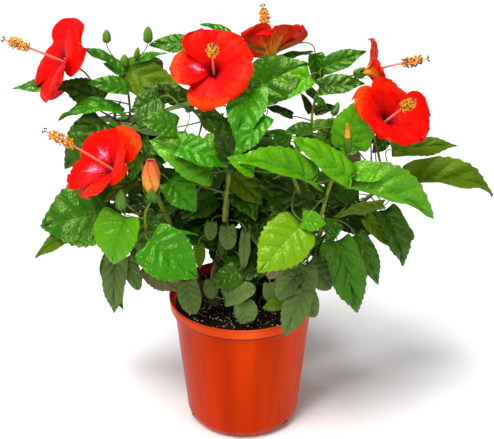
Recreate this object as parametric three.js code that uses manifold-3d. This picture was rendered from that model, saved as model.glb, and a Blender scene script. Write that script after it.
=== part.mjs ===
// Hibiscus shrub in a nursery pot: four stems, their boughs, and the crown's masses of leaves and
// blossom, standing in a moulded pot filled with potting mix.
// Millimetres, +Z up. The origin is the centre of the pot's flat underside, and -Y is the front.

import * as THREE from 'three';
import * as BufferGeometryUtils from 'three/addons/utils/BufferGeometryUtils.js';
import Module from 'manifold-3d';

const wasm = await Module();
wasm.setup();

const TURN = 2 * Math.PI;
const DEGREE = Math.PI / 180;
const GAP = 0.35; // clearance left between neighbouring solids
const SLIVER = 150; // cubic millimetres: a smaller offcut of a limb is dropped

// Pot, moulded in one piece with a collar round its mouth
const POT_HEIGHT = 224;
const LIP_RADIUS = 117.5;
const COLLAR_DEPTH = 18;
const COLLAR_FOOT_RADIUS = 116;
const WALL_TOP_RADIUS = 110;
const WALL_FOOT_RADIUS = 92;
const CORNER_RADIUS = 26; // rounding between wall and underside
const WALL_THICKNESS = 2.5;
const POT_SIDES = 36;
const CORNER_STEPS = 3;

// Drain holes through the rounded corner
const DRAIN_COUNT = 3;
const DRAIN_RADIUS = 6.5;
const DRAIN_LENGTH = 30;
const DRAIN_START = -67 * DEGREE; // measured from the front, positive to the right
const DRAIN_SLOPE = 40 * DEGREE; // how far each hole points down from level
const DRAIN_SIDES = 10;

const SOIL_TOP = 208;

const LIMB_SIDES = 6;
const LIMB_STEPS = 5;
const BURIED = 12; // how far a stem is drawn below the soil before its foot is cut flat
const FLARE_HEIGHT = 12; // the root flare fades over this height
const UPRIGHT_SHARE = 1 / 3; // share of a stem's height over which it rises nearly straight
const EARLY_LEAN = 0.2; // share of its whole lean that it has by then
const GROUND_WIDTH = 4 * LIP_RADIUS; // side of the block that cuts the stems' feet flat
const WELD = 1e-3; // points nearer to each other than this are one point

// ---------------------------------------------------------------- geometry helpers

function merged(geometry) {
  geometry.deleteAttribute('normal');
  geometry.deleteAttribute('uv');
  return BufferGeometryUtils.mergeVertices(geometry, WELD);
}

function signedVolume(geometry) {
  const position = geometry.getAttribute('position');
  const index = geometry.getIndex();
  const corners = [new THREE.Vector3(), new THREE.Vector3(), new THREE.Vector3()];
  let volume = 0;
  for (let i = 0; i < index.count; i += 3) {
    corners.forEach((corner, k) => corner.fromBufferAttribute(position, index.getX(i + k)));
    volume += corners[0].dot(corners[1].cross(corners[2])) / 6;
  }
  return volume;
}

// Turns every face over if the mesh is inside out
function facingOut(geometry) {
  if (signedVolume(geometry) < 0) {
    const index = geometry.getIndex();
    for (let i = 0; i < index.count; i += 3) {
      const second = index.getX(i + 1);
      index.setX(i + 1, index.getX(i + 2));
      index.setX(i + 2, second);
    }
  }
  return geometry;
}

function toSolid(geometry) {
  const vertProperties = new Float32Array(geometry.getAttribute('position').array);
  const triVerts = new Uint32Array(geometry.getIndex().array);
  return new wasm.Manifold(new wasm.Mesh({ numProp: 3, vertProperties, triVerts }));
}

function toGeometry(solid) {
  const mesh = solid.getMesh();
  const geometry = new THREE.BufferGeometry();
  geometry.setAttribute('position', new THREE.BufferAttribute(mesh.vertProperties, 3));
  geometry.setIndex(new THREE.BufferAttribute(mesh.triVerts, 1));
  return geometry;
}

function boxOf(geometry) {
  geometry.computeBoundingBox();
  return geometry.boundingBox;
}

// A copy of a closed mesh swollen by a distance along its vertex normals
function swollen(geometry, distance) {
  const copy = geometry.clone();
  copy.computeVertexNormals();
  const position = copy.getAttribute('position');
  const normal = copy.getAttribute('normal');
  for (let i = 0; i < position.count; i += 1) {
    position.setXYZ(
      i,
      position.getX(i) + normal.getX(i) * distance,
      position.getY(i) + normal.getY(i) * distance,
      position.getZ(i) + normal.getZ(i) * distance,
    );
  }
  copy.deleteAttribute('normal');
  return copy;
}

// Cuts a solid by each cutter whose box meets its own
function cutBy(geometry, cutters) {
  const box = boxOf(geometry);
  return cutters
    .filter((cutter) => box.intersectsBox(boxOf(cutter)))
    .reduce((solid, cutter) => solid.subtract(toSolid(cutter)), toSolid(geometry));
}

function largestPiece(solid) {
  return solid.decompose().reduce((best, piece) => (piece.volume() > best.volume() ? piece : best));
}

// The sizeable piece that lies nearest to a limb's own foot
function pieceAt(solid, foot) {
  const distance = (piece) => boxOf(toGeometry(piece)).distanceToPoint(foot);
  return solid
    .decompose()
    .filter((piece) => piece.volume() > SLIVER)
    .reduce((best, piece) => (distance(piece) < distance(best) ? piece : best));
}

// ---------------------------------------------------------------- pot and soil

// The pot's outer outline from the centre of the underside to the lip, as radius and height,
// drawn an inset inside the true surface
function outerOutline(inset) {
  const outline = [new THREE.Vector2(0, inset)];
  const cornerCentre = WALL_FOOT_RADIUS - CORNER_RADIUS;
  for (let i = 0; i <= CORNER_STEPS; i += 1) {
    const angle = (i / CORNER_STEPS) * 90 * DEGREE;
    const reach = CORNER_RADIUS - inset;
    outline.push(new THREE.Vector2(
      cornerCentre + reach * Math.sin(angle),
      CORNER_RADIUS - reach * Math.cos(angle),
    ));
  }
  return outline;
}

function latheUpright(outline) {
  const geometry = new THREE.LatheGeometry(outline, POT_SIDES);
  geometry.rotateX(Math.PI / 2);
  return facingOut(merged(geometry));
}

function drainHole(number) {
  const heading = DRAIN_START + (number / DRAIN_COUNT) * TURN;
  const middle = WALL_FOOT_RADIUS - CORNER_RADIUS + CORNER_RADIUS * Math.cos(DRAIN_SLOPE);
  const height = CORNER_RADIUS * (1 - Math.sin(DRAIN_SLOPE));
  const hole = new THREE.CylinderGeometry(DRAIN_RADIUS, DRAIN_RADIUS, DRAIN_LENGTH, DRAIN_SIDES);
  hole.rotateX(DRAIN_SLOPE);
  hole.translate(0, -middle, height);
  hole.rotateZ(heading);
  return facingOut(merged(hole));
}

function potGeometry() {
  const collarFoot = POT_HEIGHT - COLLAR_DEPTH;
  const outline = [
    ...outerOutline(0),
    new THREE.Vector2(WALL_TOP_RADIUS, collarFoot),
    new THREE.Vector2(COLLAR_FOOT_RADIUS, collarFoot),
    new THREE.Vector2(LIP_RADIUS, POT_HEIGHT),
    new THREE.Vector2(LIP_RADIUS - WALL_THICKNESS, POT_HEIGHT),
    new THREE.Vector2(COLLAR_FOOT_RADIUS - WALL_THICKNESS, collarFoot + WALL_THICKNESS),
    new THREE.Vector2(WALL_TOP_RADIUS - WALL_THICKNESS, collarFoot + WALL_THICKNESS),
    ...outerOutline(WALL_THICKNESS).reverse(),
  ];
  const drains = Array.from({ length: DRAIN_COUNT }, (_, number) => drainHole(number));
  return toGeometry(cutBy(latheUpright(outline), drains));
}

function soilGeometry() {
  const inset = WALL_THICKNESS + GAP;
  const outline = [
    ...outerOutline(inset),
    new THREE.Vector2(WALL_TOP_RADIUS - inset, SOIL_TOP),
    new THREE.Vector2(0, SOIL_TOP),
  ];
  return latheUpright(outline);
}

// Everything up to the lip, so that the crown stays clear of the pot
function potEnvelope() {
  const envelope = new THREE.CylinderGeometry(
    LIP_RADIUS + GAP,
    LIP_RADIUS + GAP,
    POT_HEIGHT + GAP,
    POT_SIDES,
  );
  envelope.rotateX(Math.PI / 2);
  envelope.translate(0, 0, (POT_HEIGHT + GAP) / 2);
  return facingOut(merged(envelope));
}

// ---------------------------------------------------------------- stems and boughs

// One limb along a smooth curve, tapering evenly, with a flare at its foot
function limbGeometry({ points, footRadius, tipRadius, flare = 0 }) {
  const curve = new THREE.CatmullRomCurve3(points.map((point) => new THREE.Vector3(...point)));
  const frames = curve.computeFrenetFrames(LIMB_STEPS);
  const length = curve.getLength();
  const geometry = new THREE.CylinderGeometry(1, 1, 1, LIMB_SIDES, LIMB_STEPS);
  const position = geometry.getAttribute('position');
  const place = new THREE.Vector3();
  for (let i = 0; i < position.count; i += 1) {
    const along = position.getY(i) + 0.5;
    const step = Math.round(along * LIMB_STEPS);
    const fromSoil = along * length - BURIED;
    const radius = THREE.MathUtils.lerp(footRadius, tipRadius, along)
      + flare * Math.exp(-Math.max(fromSoil, 0) / FLARE_HEIGHT);
    curve.getPointAt(along, place);
    place.addScaledVector(frames.normals[step], position.getX(i) * radius);
    place.addScaledVector(frames.binormals[step], position.getZ(i) * radius);
    position.setXYZ(i, place.x, place.y, place.z);
  }
  return facingOut(merged(geometry));
}

// A stem leaves the soil straight up, then leans to its fork
function stemGeometry({ foot, fork, footRadius, tipRadius, flare }) {
  const [x, y] = foot;
  const rise = SOIL_TOP + (fork[2] - SOIL_TOP) * UPRIGHT_SHARE;
  const points = [
    [x, y, SOIL_TOP - BURIED],
    [x + (fork[0] - x) * EARLY_LEAN, y + (fork[1] - y) * EARLY_LEAN, rise],
    fork,
  ];
  const whole = limbGeometry({ points, footRadius, tipRadius, flare });
  const ground = new THREE.BoxGeometry(GROUND_WIDTH, GROUND_WIDTH, SOIL_TOP);
  ground.translate(0, 0, SOIL_TOP / 2 + GAP);
  return toGeometry(cutBy(whole, [facingOut(merged(ground))]));
}

// A bough runs from its fork to a place inside its mass, bowed upwards in the middle
function boughGeometry({ fork, end, bow, footRadius, tipRadius }) {
  const middle = fork.map((value, axis) => (value + end[axis]) / 2);
  middle[2] += bow;
  return limbGeometry({ points: [fork, middle, end], footRadius, tipRadius });
}

// Each stem rises to its fork, and its boughs go on from there
const STEMS = {
  left: { foot: [-66, 10], fork: [-104, -16, 338], footRadius: 6, tipRadius: 4.4, flare: 2.5 },
  middle: { foot: [-46, -6], fork: [-25, -38, 372], footRadius: 7.5, tipRadius: 4.4, flare: 3 },
  right: { foot: [50, -2], fork: [112, -38, 328], footRadius: 7, tipRadius: 4.8, flare: 3 },
  back: { foot: [2, 30], fork: [12, 74, 340], footRadius: 7, tipRadius: 4.6, flare: 2.5 },
};

const BOUGHS = {
  left_out: { stem: 'left', end: [-240, -45, 408], bow: 12 },
  left_up: { stem: 'left', end: [-185, -10, 520], bow: 6 },
  left_front: { stem: 'left', end: [-165, -110, 405], bow: 8 },
  middle_up: { stem: 'middle', end: [-12, -66, 556], bow: 0 },
  right_front: { stem: 'right', end: [70, -110, 482], bow: 4 },
  right_up: { stem: 'right', end: [182, -30, 548], bow: 4 },
  right_out: { stem: 'right', end: [268, -8, 452], bow: 12 },
  back_left: { stem: 'back', end: [-150, 115, 432], bow: 10 },
  back_up: { stem: 'back', end: [30, 70, 580], bow: 0 },
  back_right: { stem: 'back', end: [165, 120, 430], bow: 10 },
};
const BOUGH_FOOT_RADIUS = 4;
const BOUGH_TIP_RADIUS = 2.6;

// ---------------------------------------------------------------- masses of foliage and blossom

const TIP_SPREAD = 0.3; // radians over which a tip draws the surface out with it

// A gentle swell and hollow over the mass, different for each phase
function unevenness(way, phase) {
  return 0.1 * Math.sin(3.1 * way.x + 2.3 * phase) * Math.cos(2.9 * way.y - phase)
    + 0.08 * Math.sin(4.7 * way.z + 1.7 * phase + 2 * way.x)
    + 0.05 * Math.cos(6.1 * way.y + 3.3 * way.z + phase);
}

// An uneven closed lump about a centre, with half sizes along X, Y and Z. Each tip is a place
// that its outline reaches: a leaf's point, a petal's edge or a bloom's stigma.
function massGeometry({ centre, half, lean = 0, tips = [], detail = 2 }, phase) {
  const geometry = merged(new THREE.IcosahedronGeometry(1, detail));
  const position = geometry.getAttribute('position');
  const middle = new THREE.Vector3(...centre);
  const tilt = new THREE.Quaternion().setFromAxisAngle(new THREE.Vector3(0, 1, 0), lean * DEGREE);
  const ways = [];
  const places = [];
  for (let i = 0; i < position.count; i += 1) {
    const way = new THREE.Vector3().fromBufferAttribute(position, i).normalize();
    const place = way.clone().multiplyScalar(1 + unevenness(way, phase));
    place.multiply(new THREE.Vector3(...half)).applyQuaternion(tilt).add(middle);
    ways.push(place.clone().sub(middle).normalize());
    places.push(place);
  }
  const start = places.map((place) => place.clone());
  for (const tip of tips) {
    const target = new THREE.Vector3(...tip);
    const aim = target.clone().sub(middle).normalize();
    const nearest = ways.reduce((best, way, i) => (way.dot(aim) > ways[best].dot(aim) ? i : best), 0);
    const pull = target.clone().sub(start[nearest]);
    places.forEach((place, i) => {
      const apart = ways[i].angleTo(ways[nearest]);
      place.addScaledVector(pull, Math.exp(-((apart / TIP_SPREAD) ** 2)));
    });
  }
  places.forEach((place, i) => position.setXYZ(i, place.x, place.y, place.z));
  return facingOut(geometry);
}

const MASSES = {
  foot: { centre: [2, -52, 262], half: [48, 34, 26], tips: [[-6, -84, 229], [-46, -40, 268]] },
  rim_left: { centre: [-84, -72, 270], half: [26, 20, 36], tips: [[-74, -92, 230]] },
  over_rim: {
    centre: [80, -112, 292], half: [34, 15, 50], tips: [[70, -128, 222], [108, -122, 262]],
  },
  hanging_right: {
    centre: [160, -78, 322], half: [38, 26, 50], tips: [[171, -98, 246], [188, -70, 290]],
  },
  low_right: { centre: [222, -58, 366], half: [36, 32, 42], tips: [[236, -80, 318]] },
  hanging_left: {
    centre: [-188, -40, 270], half: [28, 16, 44], tips: [[-196, -42, 212], [-160, -38, 256]],
  },
  low_left: {
    centre: [-108, -132, 384], half: [46, 38, 44], lean: 30, tips: [[-64, -168, 342]],
  },
  left_front: { centre: [-176, -130, 402], half: [42, 34, 38], tips: [[-180, -152, 350]] },
  left: {
    centre: [-250, -46, 392], half: [58, 50, 30], lean: -25,
    tips: [[-312, -60, 318], [-205, -50, 452]],
  },
  left_bloom: {
    centre: [-192, -112, 502], half: [52, 40, 44], detail: 3,
    tips: [[-256, -190, 572], [-242, -140, 500], [-156, -108, 556], [-236, -138, 458],
      [-124, -148, 516]],
  },
  upper_left: { centre: [-202, -6, 528], half: [58, 52, 34], tips: [[-268, -20, 528]] },
  top_left_bloom: {
    centre: [-252, 2, 612], half: [44, 38, 46], detail: 3,
    tips: [[-340, -20, 655], [-232, 8, 674], [-282, -20, 556], [-200, 20, 578]],
  },
  top_left: {
    centre: [-128, 22, 582], half: [58, 52, 38],
    tips: [[-136, 30, 636], [-197, 20, 656], [-137, 18, 656]],
  },
  top_bloom: {
    centre: [-44, -56, 612], half: [50, 38, 46], detail: 3,
    tips: [[-44, -40, 674], [-104, -60, 624], [17, -60, 643], [-38, -102, 664], [-52, -82, 560]],
  },
  middle_left: { centre: [-88, -84, 508], half: [62, 54, 32], tips: [[-16, -122, 500]] },
  top_middle: { centre: [10, -78, 552], half: [34, 40, 36], tips: [[-2, -128, 528]] },
  middle: {
    centre: [46, -108, 486], half: [66, 50, 28], tips: [[-18, -158, 512], [108, -140, 470]],
  },
  middle_right: { centre: [110, -38, 512], half: [46, 40, 32], tips: [[152, -20, 560]] },
  front: { centre: [66, -128, 412], half: [52, 44, 44], lean: 20, tips: [[22, -196, 370]] },
  top_back_bloom: {
    centre: [50, 64, 592], half: [56, 46, 38], detail: 3,
    tips: [[32, 68, 678], [0, 66, 622], [95, 70, 620]],
  },
  top_right: {
    centre: [152, 46, 578], half: [54, 46, 34],
    tips: [[114, 70, 606], [192, 40, 632], [269, 18, 614], [196, 36, 560]],
  },
  right_bloom: {
    centre: [206, -52, 546], half: [52, 40, 38], detail: 3,
    tips: [[214, -40, 592], [275, -50, 538], [228, -72, 508], [156, -78, 540]],
  },
  right: { centre: [196, -100, 450], half: [64, 50, 28], tips: [[268, -140, 426], [150, -112, 520]] },
  far_right: {
    centre: [304, 6, 446], half: [60, 50, 20], lean: 18, tips: [[380, 0, 398], [326, 40, 464]],
  },
  inner: { centre: [-40, 60, 452], half: [56, 38, 34] },
  back_left: {
    centre: [-172, 120, 428], half: [76, 64, 54], tips: [[-262, 140, 412], [-150, 196, 452]],
  },
  back: { centre: [0, 180, 396], half: [84, 58, 54], tips: [[20, 252, 380], [-40, 220, 450]] },
  back_right: {
    centre: [176, 122, 428], half: [76, 64, 52], tips: [[266, 146, 408], [150, 194, 454]],
  },
  back_low_left: { centre: [-108, 104, 312], half: [56, 44, 42], tips: [[-140, 132, 250]] },
  back_low_right: { centre: [112, 108, 312], half: [56, 44, 42], tips: [[150, 134, 250]] },
  back_top: { centre: [-52, 104, 546], half: [60, 46, 40], tips: [[-70, 130, 600]] },
};

// ---------------------------------------------------------------- assembly

function material(colour, roughness) {
  return new THREE.MeshStandardMaterial({ color: colour, roughness, metalness: 0 });
}

const FINISHES = {
  pot: material(0xcc4412, 0.4),
  soil: material(0x2a211b, 0.95),
  stem: material(0x7a6a42, 0.7),
  bough: material(0x83943a, 0.55),
  foliage: material(0x2f8a24, 0.5),
};

const group = new THREE.Group();

function addPart(name, geometry, finish) {
  const mesh = new THREE.Mesh(geometry, FINISHES[finish]);
  mesh.name = name;
  group.add(mesh);
}

addPart('pot', potGeometry(), 'pot');
addPart('soil', soilGeometry(), 'soil');

const stems = Object.entries(STEMS).map(([name, stem]) => [name, stemGeometry(stem)]);
const stemCutters = stems.map(([, geometry]) => swollen(geometry, GAP));
stems.forEach(([name, geometry]) => addPart(`stem_${name}`, geometry, 'stem'));

// Masses make way for the pot, for the stems and for each mass before them
const massCutters = [];
Object.entries(MASSES).forEach(([name, mass], number) => {
  const geometry = massGeometry(mass, number);
  const solid = cutBy(geometry, [potEnvelope(), ...stemCutters, ...massCutters]);
  addPart(`foliage_${name}`, toGeometry(largestPiece(solid)), 'foliage');
  massCutters.push(swollen(geometry, GAP));
});

// Boughs end where they enter a mass
const boughCutters = [];
for (const [name, { stem, end, bow }] of Object.entries(BOUGHS)) {
  const { fork } = STEMS[stem];
  const geometry = boughGeometry({
    fork, end, bow, footRadius: BOUGH_FOOT_RADIUS, tipRadius: BOUGH_TIP_RADIUS,
  });
  const solid = cutBy(geometry, [...stemCutters, ...massCutters, ...boughCutters]);
  addPart(`bough_${name}`, toGeometry(pieceAt(solid, new THREE.Vector3(...fork))), 'bough');
  boughCutters.push(swollen(geometry, GAP));
}

export default group;
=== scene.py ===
"""Looks of the potted hibiscus shrub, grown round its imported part. Lengths are in millimetres unless
a name or comment says metres. +Z is up, -Y the front and +X the right."""

import itertools
import math
import random

import bpy
import numpy as np
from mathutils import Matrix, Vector
from mathutils.bvhtree import BVHTree


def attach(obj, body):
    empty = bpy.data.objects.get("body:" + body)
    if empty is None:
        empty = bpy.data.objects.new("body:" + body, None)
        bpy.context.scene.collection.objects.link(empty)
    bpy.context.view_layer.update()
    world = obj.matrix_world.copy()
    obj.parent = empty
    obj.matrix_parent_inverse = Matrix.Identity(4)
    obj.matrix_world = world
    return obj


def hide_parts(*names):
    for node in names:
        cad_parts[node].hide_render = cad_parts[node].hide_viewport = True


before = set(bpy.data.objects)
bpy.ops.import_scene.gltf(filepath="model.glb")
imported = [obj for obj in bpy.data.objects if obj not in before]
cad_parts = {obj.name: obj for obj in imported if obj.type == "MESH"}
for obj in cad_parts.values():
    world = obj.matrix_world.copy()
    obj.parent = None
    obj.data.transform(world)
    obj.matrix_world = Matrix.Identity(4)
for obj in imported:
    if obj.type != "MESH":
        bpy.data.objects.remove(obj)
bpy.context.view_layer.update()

MM = 0.001
SEED = 20
TURN = 2 * math.pi
GOLDEN_ANGLE = 2.399963  # radians, so that leaves and anthers turn on without lining up
chance = random.Random(SEED)

# ------------------------------------------------------------------ sizes shared with the part

POT_HEIGHT = 224
LIP_RADIUS = 117.5
COLLAR_DEPTH = 18
COLLAR_FOOT_RADIUS = 116
WALL_TOP_RADIUS = 110
WALL_FOOT_RADIUS = 92
CORNER_RADIUS = 26
WALL_THICKNESS = 2.5
DRAIN_HEADINGS = (-67, 53, 173)  # degrees round from the front, positive to the right
DRAIN_RADIUS = 6.5
DRAIN_SLOPE = 40  # degrees below the level
SOIL_TOP = 208

# name: foot (x, y), fork (x, y, z), foot radius, radius at the fork, root flare
STEMS = {
    "left": ((-66, 10), (-104, -16, 338), 6.0, 4.4, 2.5),
    "middle": ((-46, -6), (-25, -38, 372), 7.5, 4.4, 3.0),
    "right": ((50, -2), (112, -38, 328), 7.0, 4.8, 3.0),
    "back": ((2, 30), (12, 74, 340), 7.0, 4.6, 2.5),
}
FLARE_HEIGHT = 12
# stem, end (x, y, z), upward bow
BOUGHS = (
    ("left", (-240, -45, 408), 12),
    ("left", (-185, -10, 520), 6),
    ("left", (-165, -110, 405), 8),
    ("middle", (-12, -66, 556), 0),
    ("right", (70, -110, 482), 4),
    ("right", (182, -30, 548), 4),
    ("right", (268, -8, 452), 12),
    ("back", (-150, 115, 432), 10),
    ("back", (30, 70, 580), 0),
    ("back", (165, 120, 430), 10),
)
BOUGH_RADIUS = 4.0
BOUGH_TIP_RADIUS = 2.6
STEM_STEPS, STEM_SIDES = 36, 14
STEM_BARE_STEPS = 12  # from the foot, where no leaf hangs
BOUGH_STEPS, BOUGH_SIDES = 30, 12
SHOOT_STEPS, SHOOT_SIDES = 22, 8
SWELLING_EVERY = 9  # steps from the scar of one old leaf to the next

# ------------------------------------------------------------------ camera

CAMERA_DISTANCE = 1750
CAMERA_ELEVATION = math.radians(25.64)
CAMERA_AIM = np.array([7.0, 0.0, 354.0])
CAMERA_LENS = 82.3
TOWARD_CAMERA = np.array([0.0, -math.cos(CAMERA_ELEVATION), math.sin(CAMERA_ELEVATION)])
CAMERA_PLACE = CAMERA_AIM + CAMERA_DISTANCE * TOWARD_CAMERA


def unit(vector):
    vector = np.asarray(vector, float)
    return vector / max(np.linalg.norm(vector), 1e-9)


def smooth(low, high, value):
    share = np.clip((value - low) / (high - low), 0, 1)
    return share * share * (3 - 2 * share)


# ------------------------------------------------------------------ gathering meshes

class Gathered:
    """Points and faces of one piece, with a material slot for each face."""

    def __init__(self):
        self.points = []
        self.faces = []
        self.slots = []
        self.count = 0

    def add(self, points, faces, slots):
        points = np.asarray(points, float).reshape(-1, 3)
        faces = np.asarray(faces, int) + self.count
        self.points.append(points)
        self.faces.extend(faces.tolist())
        self.slots.extend(np.broadcast_to(np.asarray(slots, int), len(faces)).tolist())
        self.count += len(points)

    def all_points(self):
        return np.concatenate(self.points)

    def tree(self):
        return BVHTree.FromPolygons(self.all_points().tolist(), self.faces)

    def build(self, name, materials, sharp_above=50, stands_for=()):
        mesh = bpy.data.meshes.new(name)
        mesh.from_pydata((self.all_points() * MM).tolist(), [], self.faces)
        for made in materials:
            mesh.materials.append(made)
        mesh.polygons.foreach_set("material_index", self.slots)
        mesh.polygons.foreach_set("use_smooth", [True] * len(self.faces))
        mesh.update()
        mesh.set_sharp_from_angle(angle=math.radians(sharp_above))
        piece = bpy.data.objects.new(name, mesh)
        bpy.context.scene.collection.objects.link(piece)
        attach(piece, "root")
        if stands_for:
            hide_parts(*stands_for)


def grid_faces(rows, columns, closed=False):
    """Quads of a grid of points, facing up where rows run along +X and columns along +Y."""
    row, column = np.meshgrid(np.arange(rows - 1), np.arange(columns - (not closed)), indexing="ij")
    following = (column + 1) % columns
    corners = (row * columns + column, (row + 1) * columns + column,
               (row + 1) * columns + following, row * columns + following)
    return np.stack([corner.ravel() for corner in corners], axis=1)


def axes_along(path):
    """Two directions across a path at each of its points, turning as little as they can."""
    heading = np.gradient(path, axis=0)
    heading /= np.linalg.norm(heading, axis=1)[:, None]
    start = np.cross(heading[0], (0, 0, 1) if abs(heading[0][2]) < 0.9 else (1, 0, 0))
    across = [unit(start)]
    for direction in heading[1:]:
        across.append(unit(across[-1] - np.dot(across[-1], direction) * direction))
    across = np.array(across)
    return heading, across, np.cross(heading, across)


def add_tube(piece, path, radii, sides, slot, relief=None):
    """A round limb along a path. relief gives a factor for the radius at (step, side)."""
    path = np.asarray(path, float)
    _, across, other = axes_along(path)
    angle = np.arange(sides) * TURN / sides
    radii = np.asarray(radii, float)[:, None] * np.ones(sides)
    if relief is not None:
        radii = radii * relief
    ring = across[:, None] * np.cos(angle)[None, :, None] + other[:, None] * np.sin(angle)[None, :, None]
    points = (path[:, None] + radii[:, :, None] * ring).reshape(-1, 3)
    faces = grid_faces(len(path), sides, closed=True)[:, ::-1]
    piece.add(points, faces, slot)
    for end, turned in ((0, 1), (len(path) - 1, -1)):
        cap = np.concatenate([points[end * sides:(end + 1) * sides], path[end][None]])
        rim = np.arange(sides)
        piece.add(cap, np.stack([np.roll(rim, -turned), rim, np.full(sides, sides)], axis=1), slot)


def bent(start, through, end, steps):
    """A curve from start to end that leans towards the point through."""
    start, through, end = (np.asarray(place, float) for place in (start, through, end))
    share = np.linspace(0, 1, steps)[:, None]
    return (1 - share) ** 2 * start + 2 * share * (1 - share) * through + share ** 2 * end


def tapered(first, last, steps):
    return np.linspace(first, last, steps)


def around(first, second, angle):
    """The way that lies at an angle from the first of two axes towards the second."""
    return first * math.cos(angle) + second * math.sin(angle)


# ------------------------------------------------------------------ limbs: where leaves can hang

LIMB_SPACING = 5
TOO_NEAR = 12
TOO_NEAR_COST = 40
BEHIND_GAIN = 0.45
ABOVE_COST = 0.25
limb_points = []


def remember(path):
    """Keeps places along a limb, about LIMB_SPACING apart, for leaves and twigs to grow from."""
    path = np.asarray(path, float)
    for start, end in zip(path, path[1:]):
        count = max(1, int(np.linalg.norm(end - start) / LIMB_SPACING))
        for step in range(count):
            limb_points.append(start + (end - start) * step / count)
    limb_points.append(path[-1])


def nearest_limb(place, heading=None):
    """The limb point to grow from: near, and behind the place if a heading is given."""
    places = np.array(limb_points)
    offset = np.asarray(place, float) - places
    distance = np.linalg.norm(offset, axis=1)
    cost = distance + TOO_NEAR_COST * (distance < TOO_NEAR)
    if heading is not None:
        cost = cost - BEHIND_GAIN * offset @ unit(heading)
    cost = cost + ABOVE_COST * np.clip(places[:, 2] - place[2], 0, None)
    return places[int(np.argmin(cost))]


# ------------------------------------------------------------------ leaves

LEAF_TINTS = ("bright", "fresh", "mid", "dark", "deep", "old", "olive", "brown", "lime", "painted_sheen_green")
VEIN_SLOT = len(LEAF_TINTS)
UNDER_SLOT = VEIN_SLOT + 1
DARK_UNDER_SLOT = VEIN_SLOT + 2
DARK_VEIN_SLOT = VEIN_SLOT + 3
DARK_TINTS = ("mid", "dark", "deep", "old", "olive", "brown")
ROUND_TINTS = ("old", "brown")
LEAF_THICKNESS = 0.4
VEIN_HALF_WIDTH = 0.4
VEIN_ROW_SHARE = 0.0045  # of the leaf's length, for half the width of a side vein
TOOTH_SHARE = 0.03
FIRST_VEIN, VEINED_SHARE = 0.12, 0.74
QUILT_SHARE = 0.042
BEND_FROM, BEND_TO, BEND_STEPS = -0.25, 1.05, 60  # stretch of a leaf over which its droop is summed
BEND_POWER = 1.2
ROUND_LEAF_LENGTH = 62
ROUNDNESS = 0.8


class LeafPlan:
    """Rows of a leaf blade that follow its side veins, and the columns across it."""

    def __init__(self, veins, between, columns):
        marks = [FIRST_VEIN + VEINED_SHARE * (k / (veins - 1)) for k in range(veins)]
        marks = [0.012] + marks + [0.995]
        self.share, self.tooth, self.phase, vein_rows = [], [], [], []
        for k, (low, high) in enumerate(zip(marks, marks[1:])):
            low += VEIN_ROW_SHARE * (k > 0)
            high -= VEIN_ROW_SHARE * (k < veins)
            for j in range(between + 2):
                step = j / (between + 1)
                self.share.append(low + (high - low) * step)
                self.phase.append(step)
                self.tooth.append((j + 1) % 2 if between % 2 else float(j in (0, between + 1)))
            vein_rows.append(len(self.share) - 1)
        self.share, self.tooth, self.phase = map(np.array, (self.share, self.tooth, self.phase))
        inner = np.array((0.0,) + columns)
        self.across = np.concatenate([-inner[::-1], inner])
        self.rows, self.columns = len(self.share), len(self.across)
        self.top = grid_faces(self.rows, self.columns)
        row = np.repeat(np.arange(self.rows - 1), self.columns - 1)
        column = np.tile(np.arange(self.columns - 1), self.rows - 1)
        middle = self.columns // 2 - 1
        outer = (column < 1) | (column > self.columns - 3)
        self.vein = (column == middle) | (np.isin(row, vein_rows[:-1]) & ~outer)
        self.midrib = column == middle
        edge = np.zeros((self.rows, self.columns), bool)
        edge[0] = edge[-1] = edge[:, 0] = edge[:, -1] = True
        self.inner = ~edge.ravel()
        below = np.arange(self.rows * self.columns)
        below[self.inner] = self.rows * self.columns + np.arange(self.inner.sum())
        self.under = below[self.top][:, ::-1]


FINE_LEAF = LeafPlan(5, 3, (0.22, 0.45, 0.7, 0.88, 1.0))
PLAIN_LEAF = LeafPlan(5, 2, (0.35, 0.72, 1.0))


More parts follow.
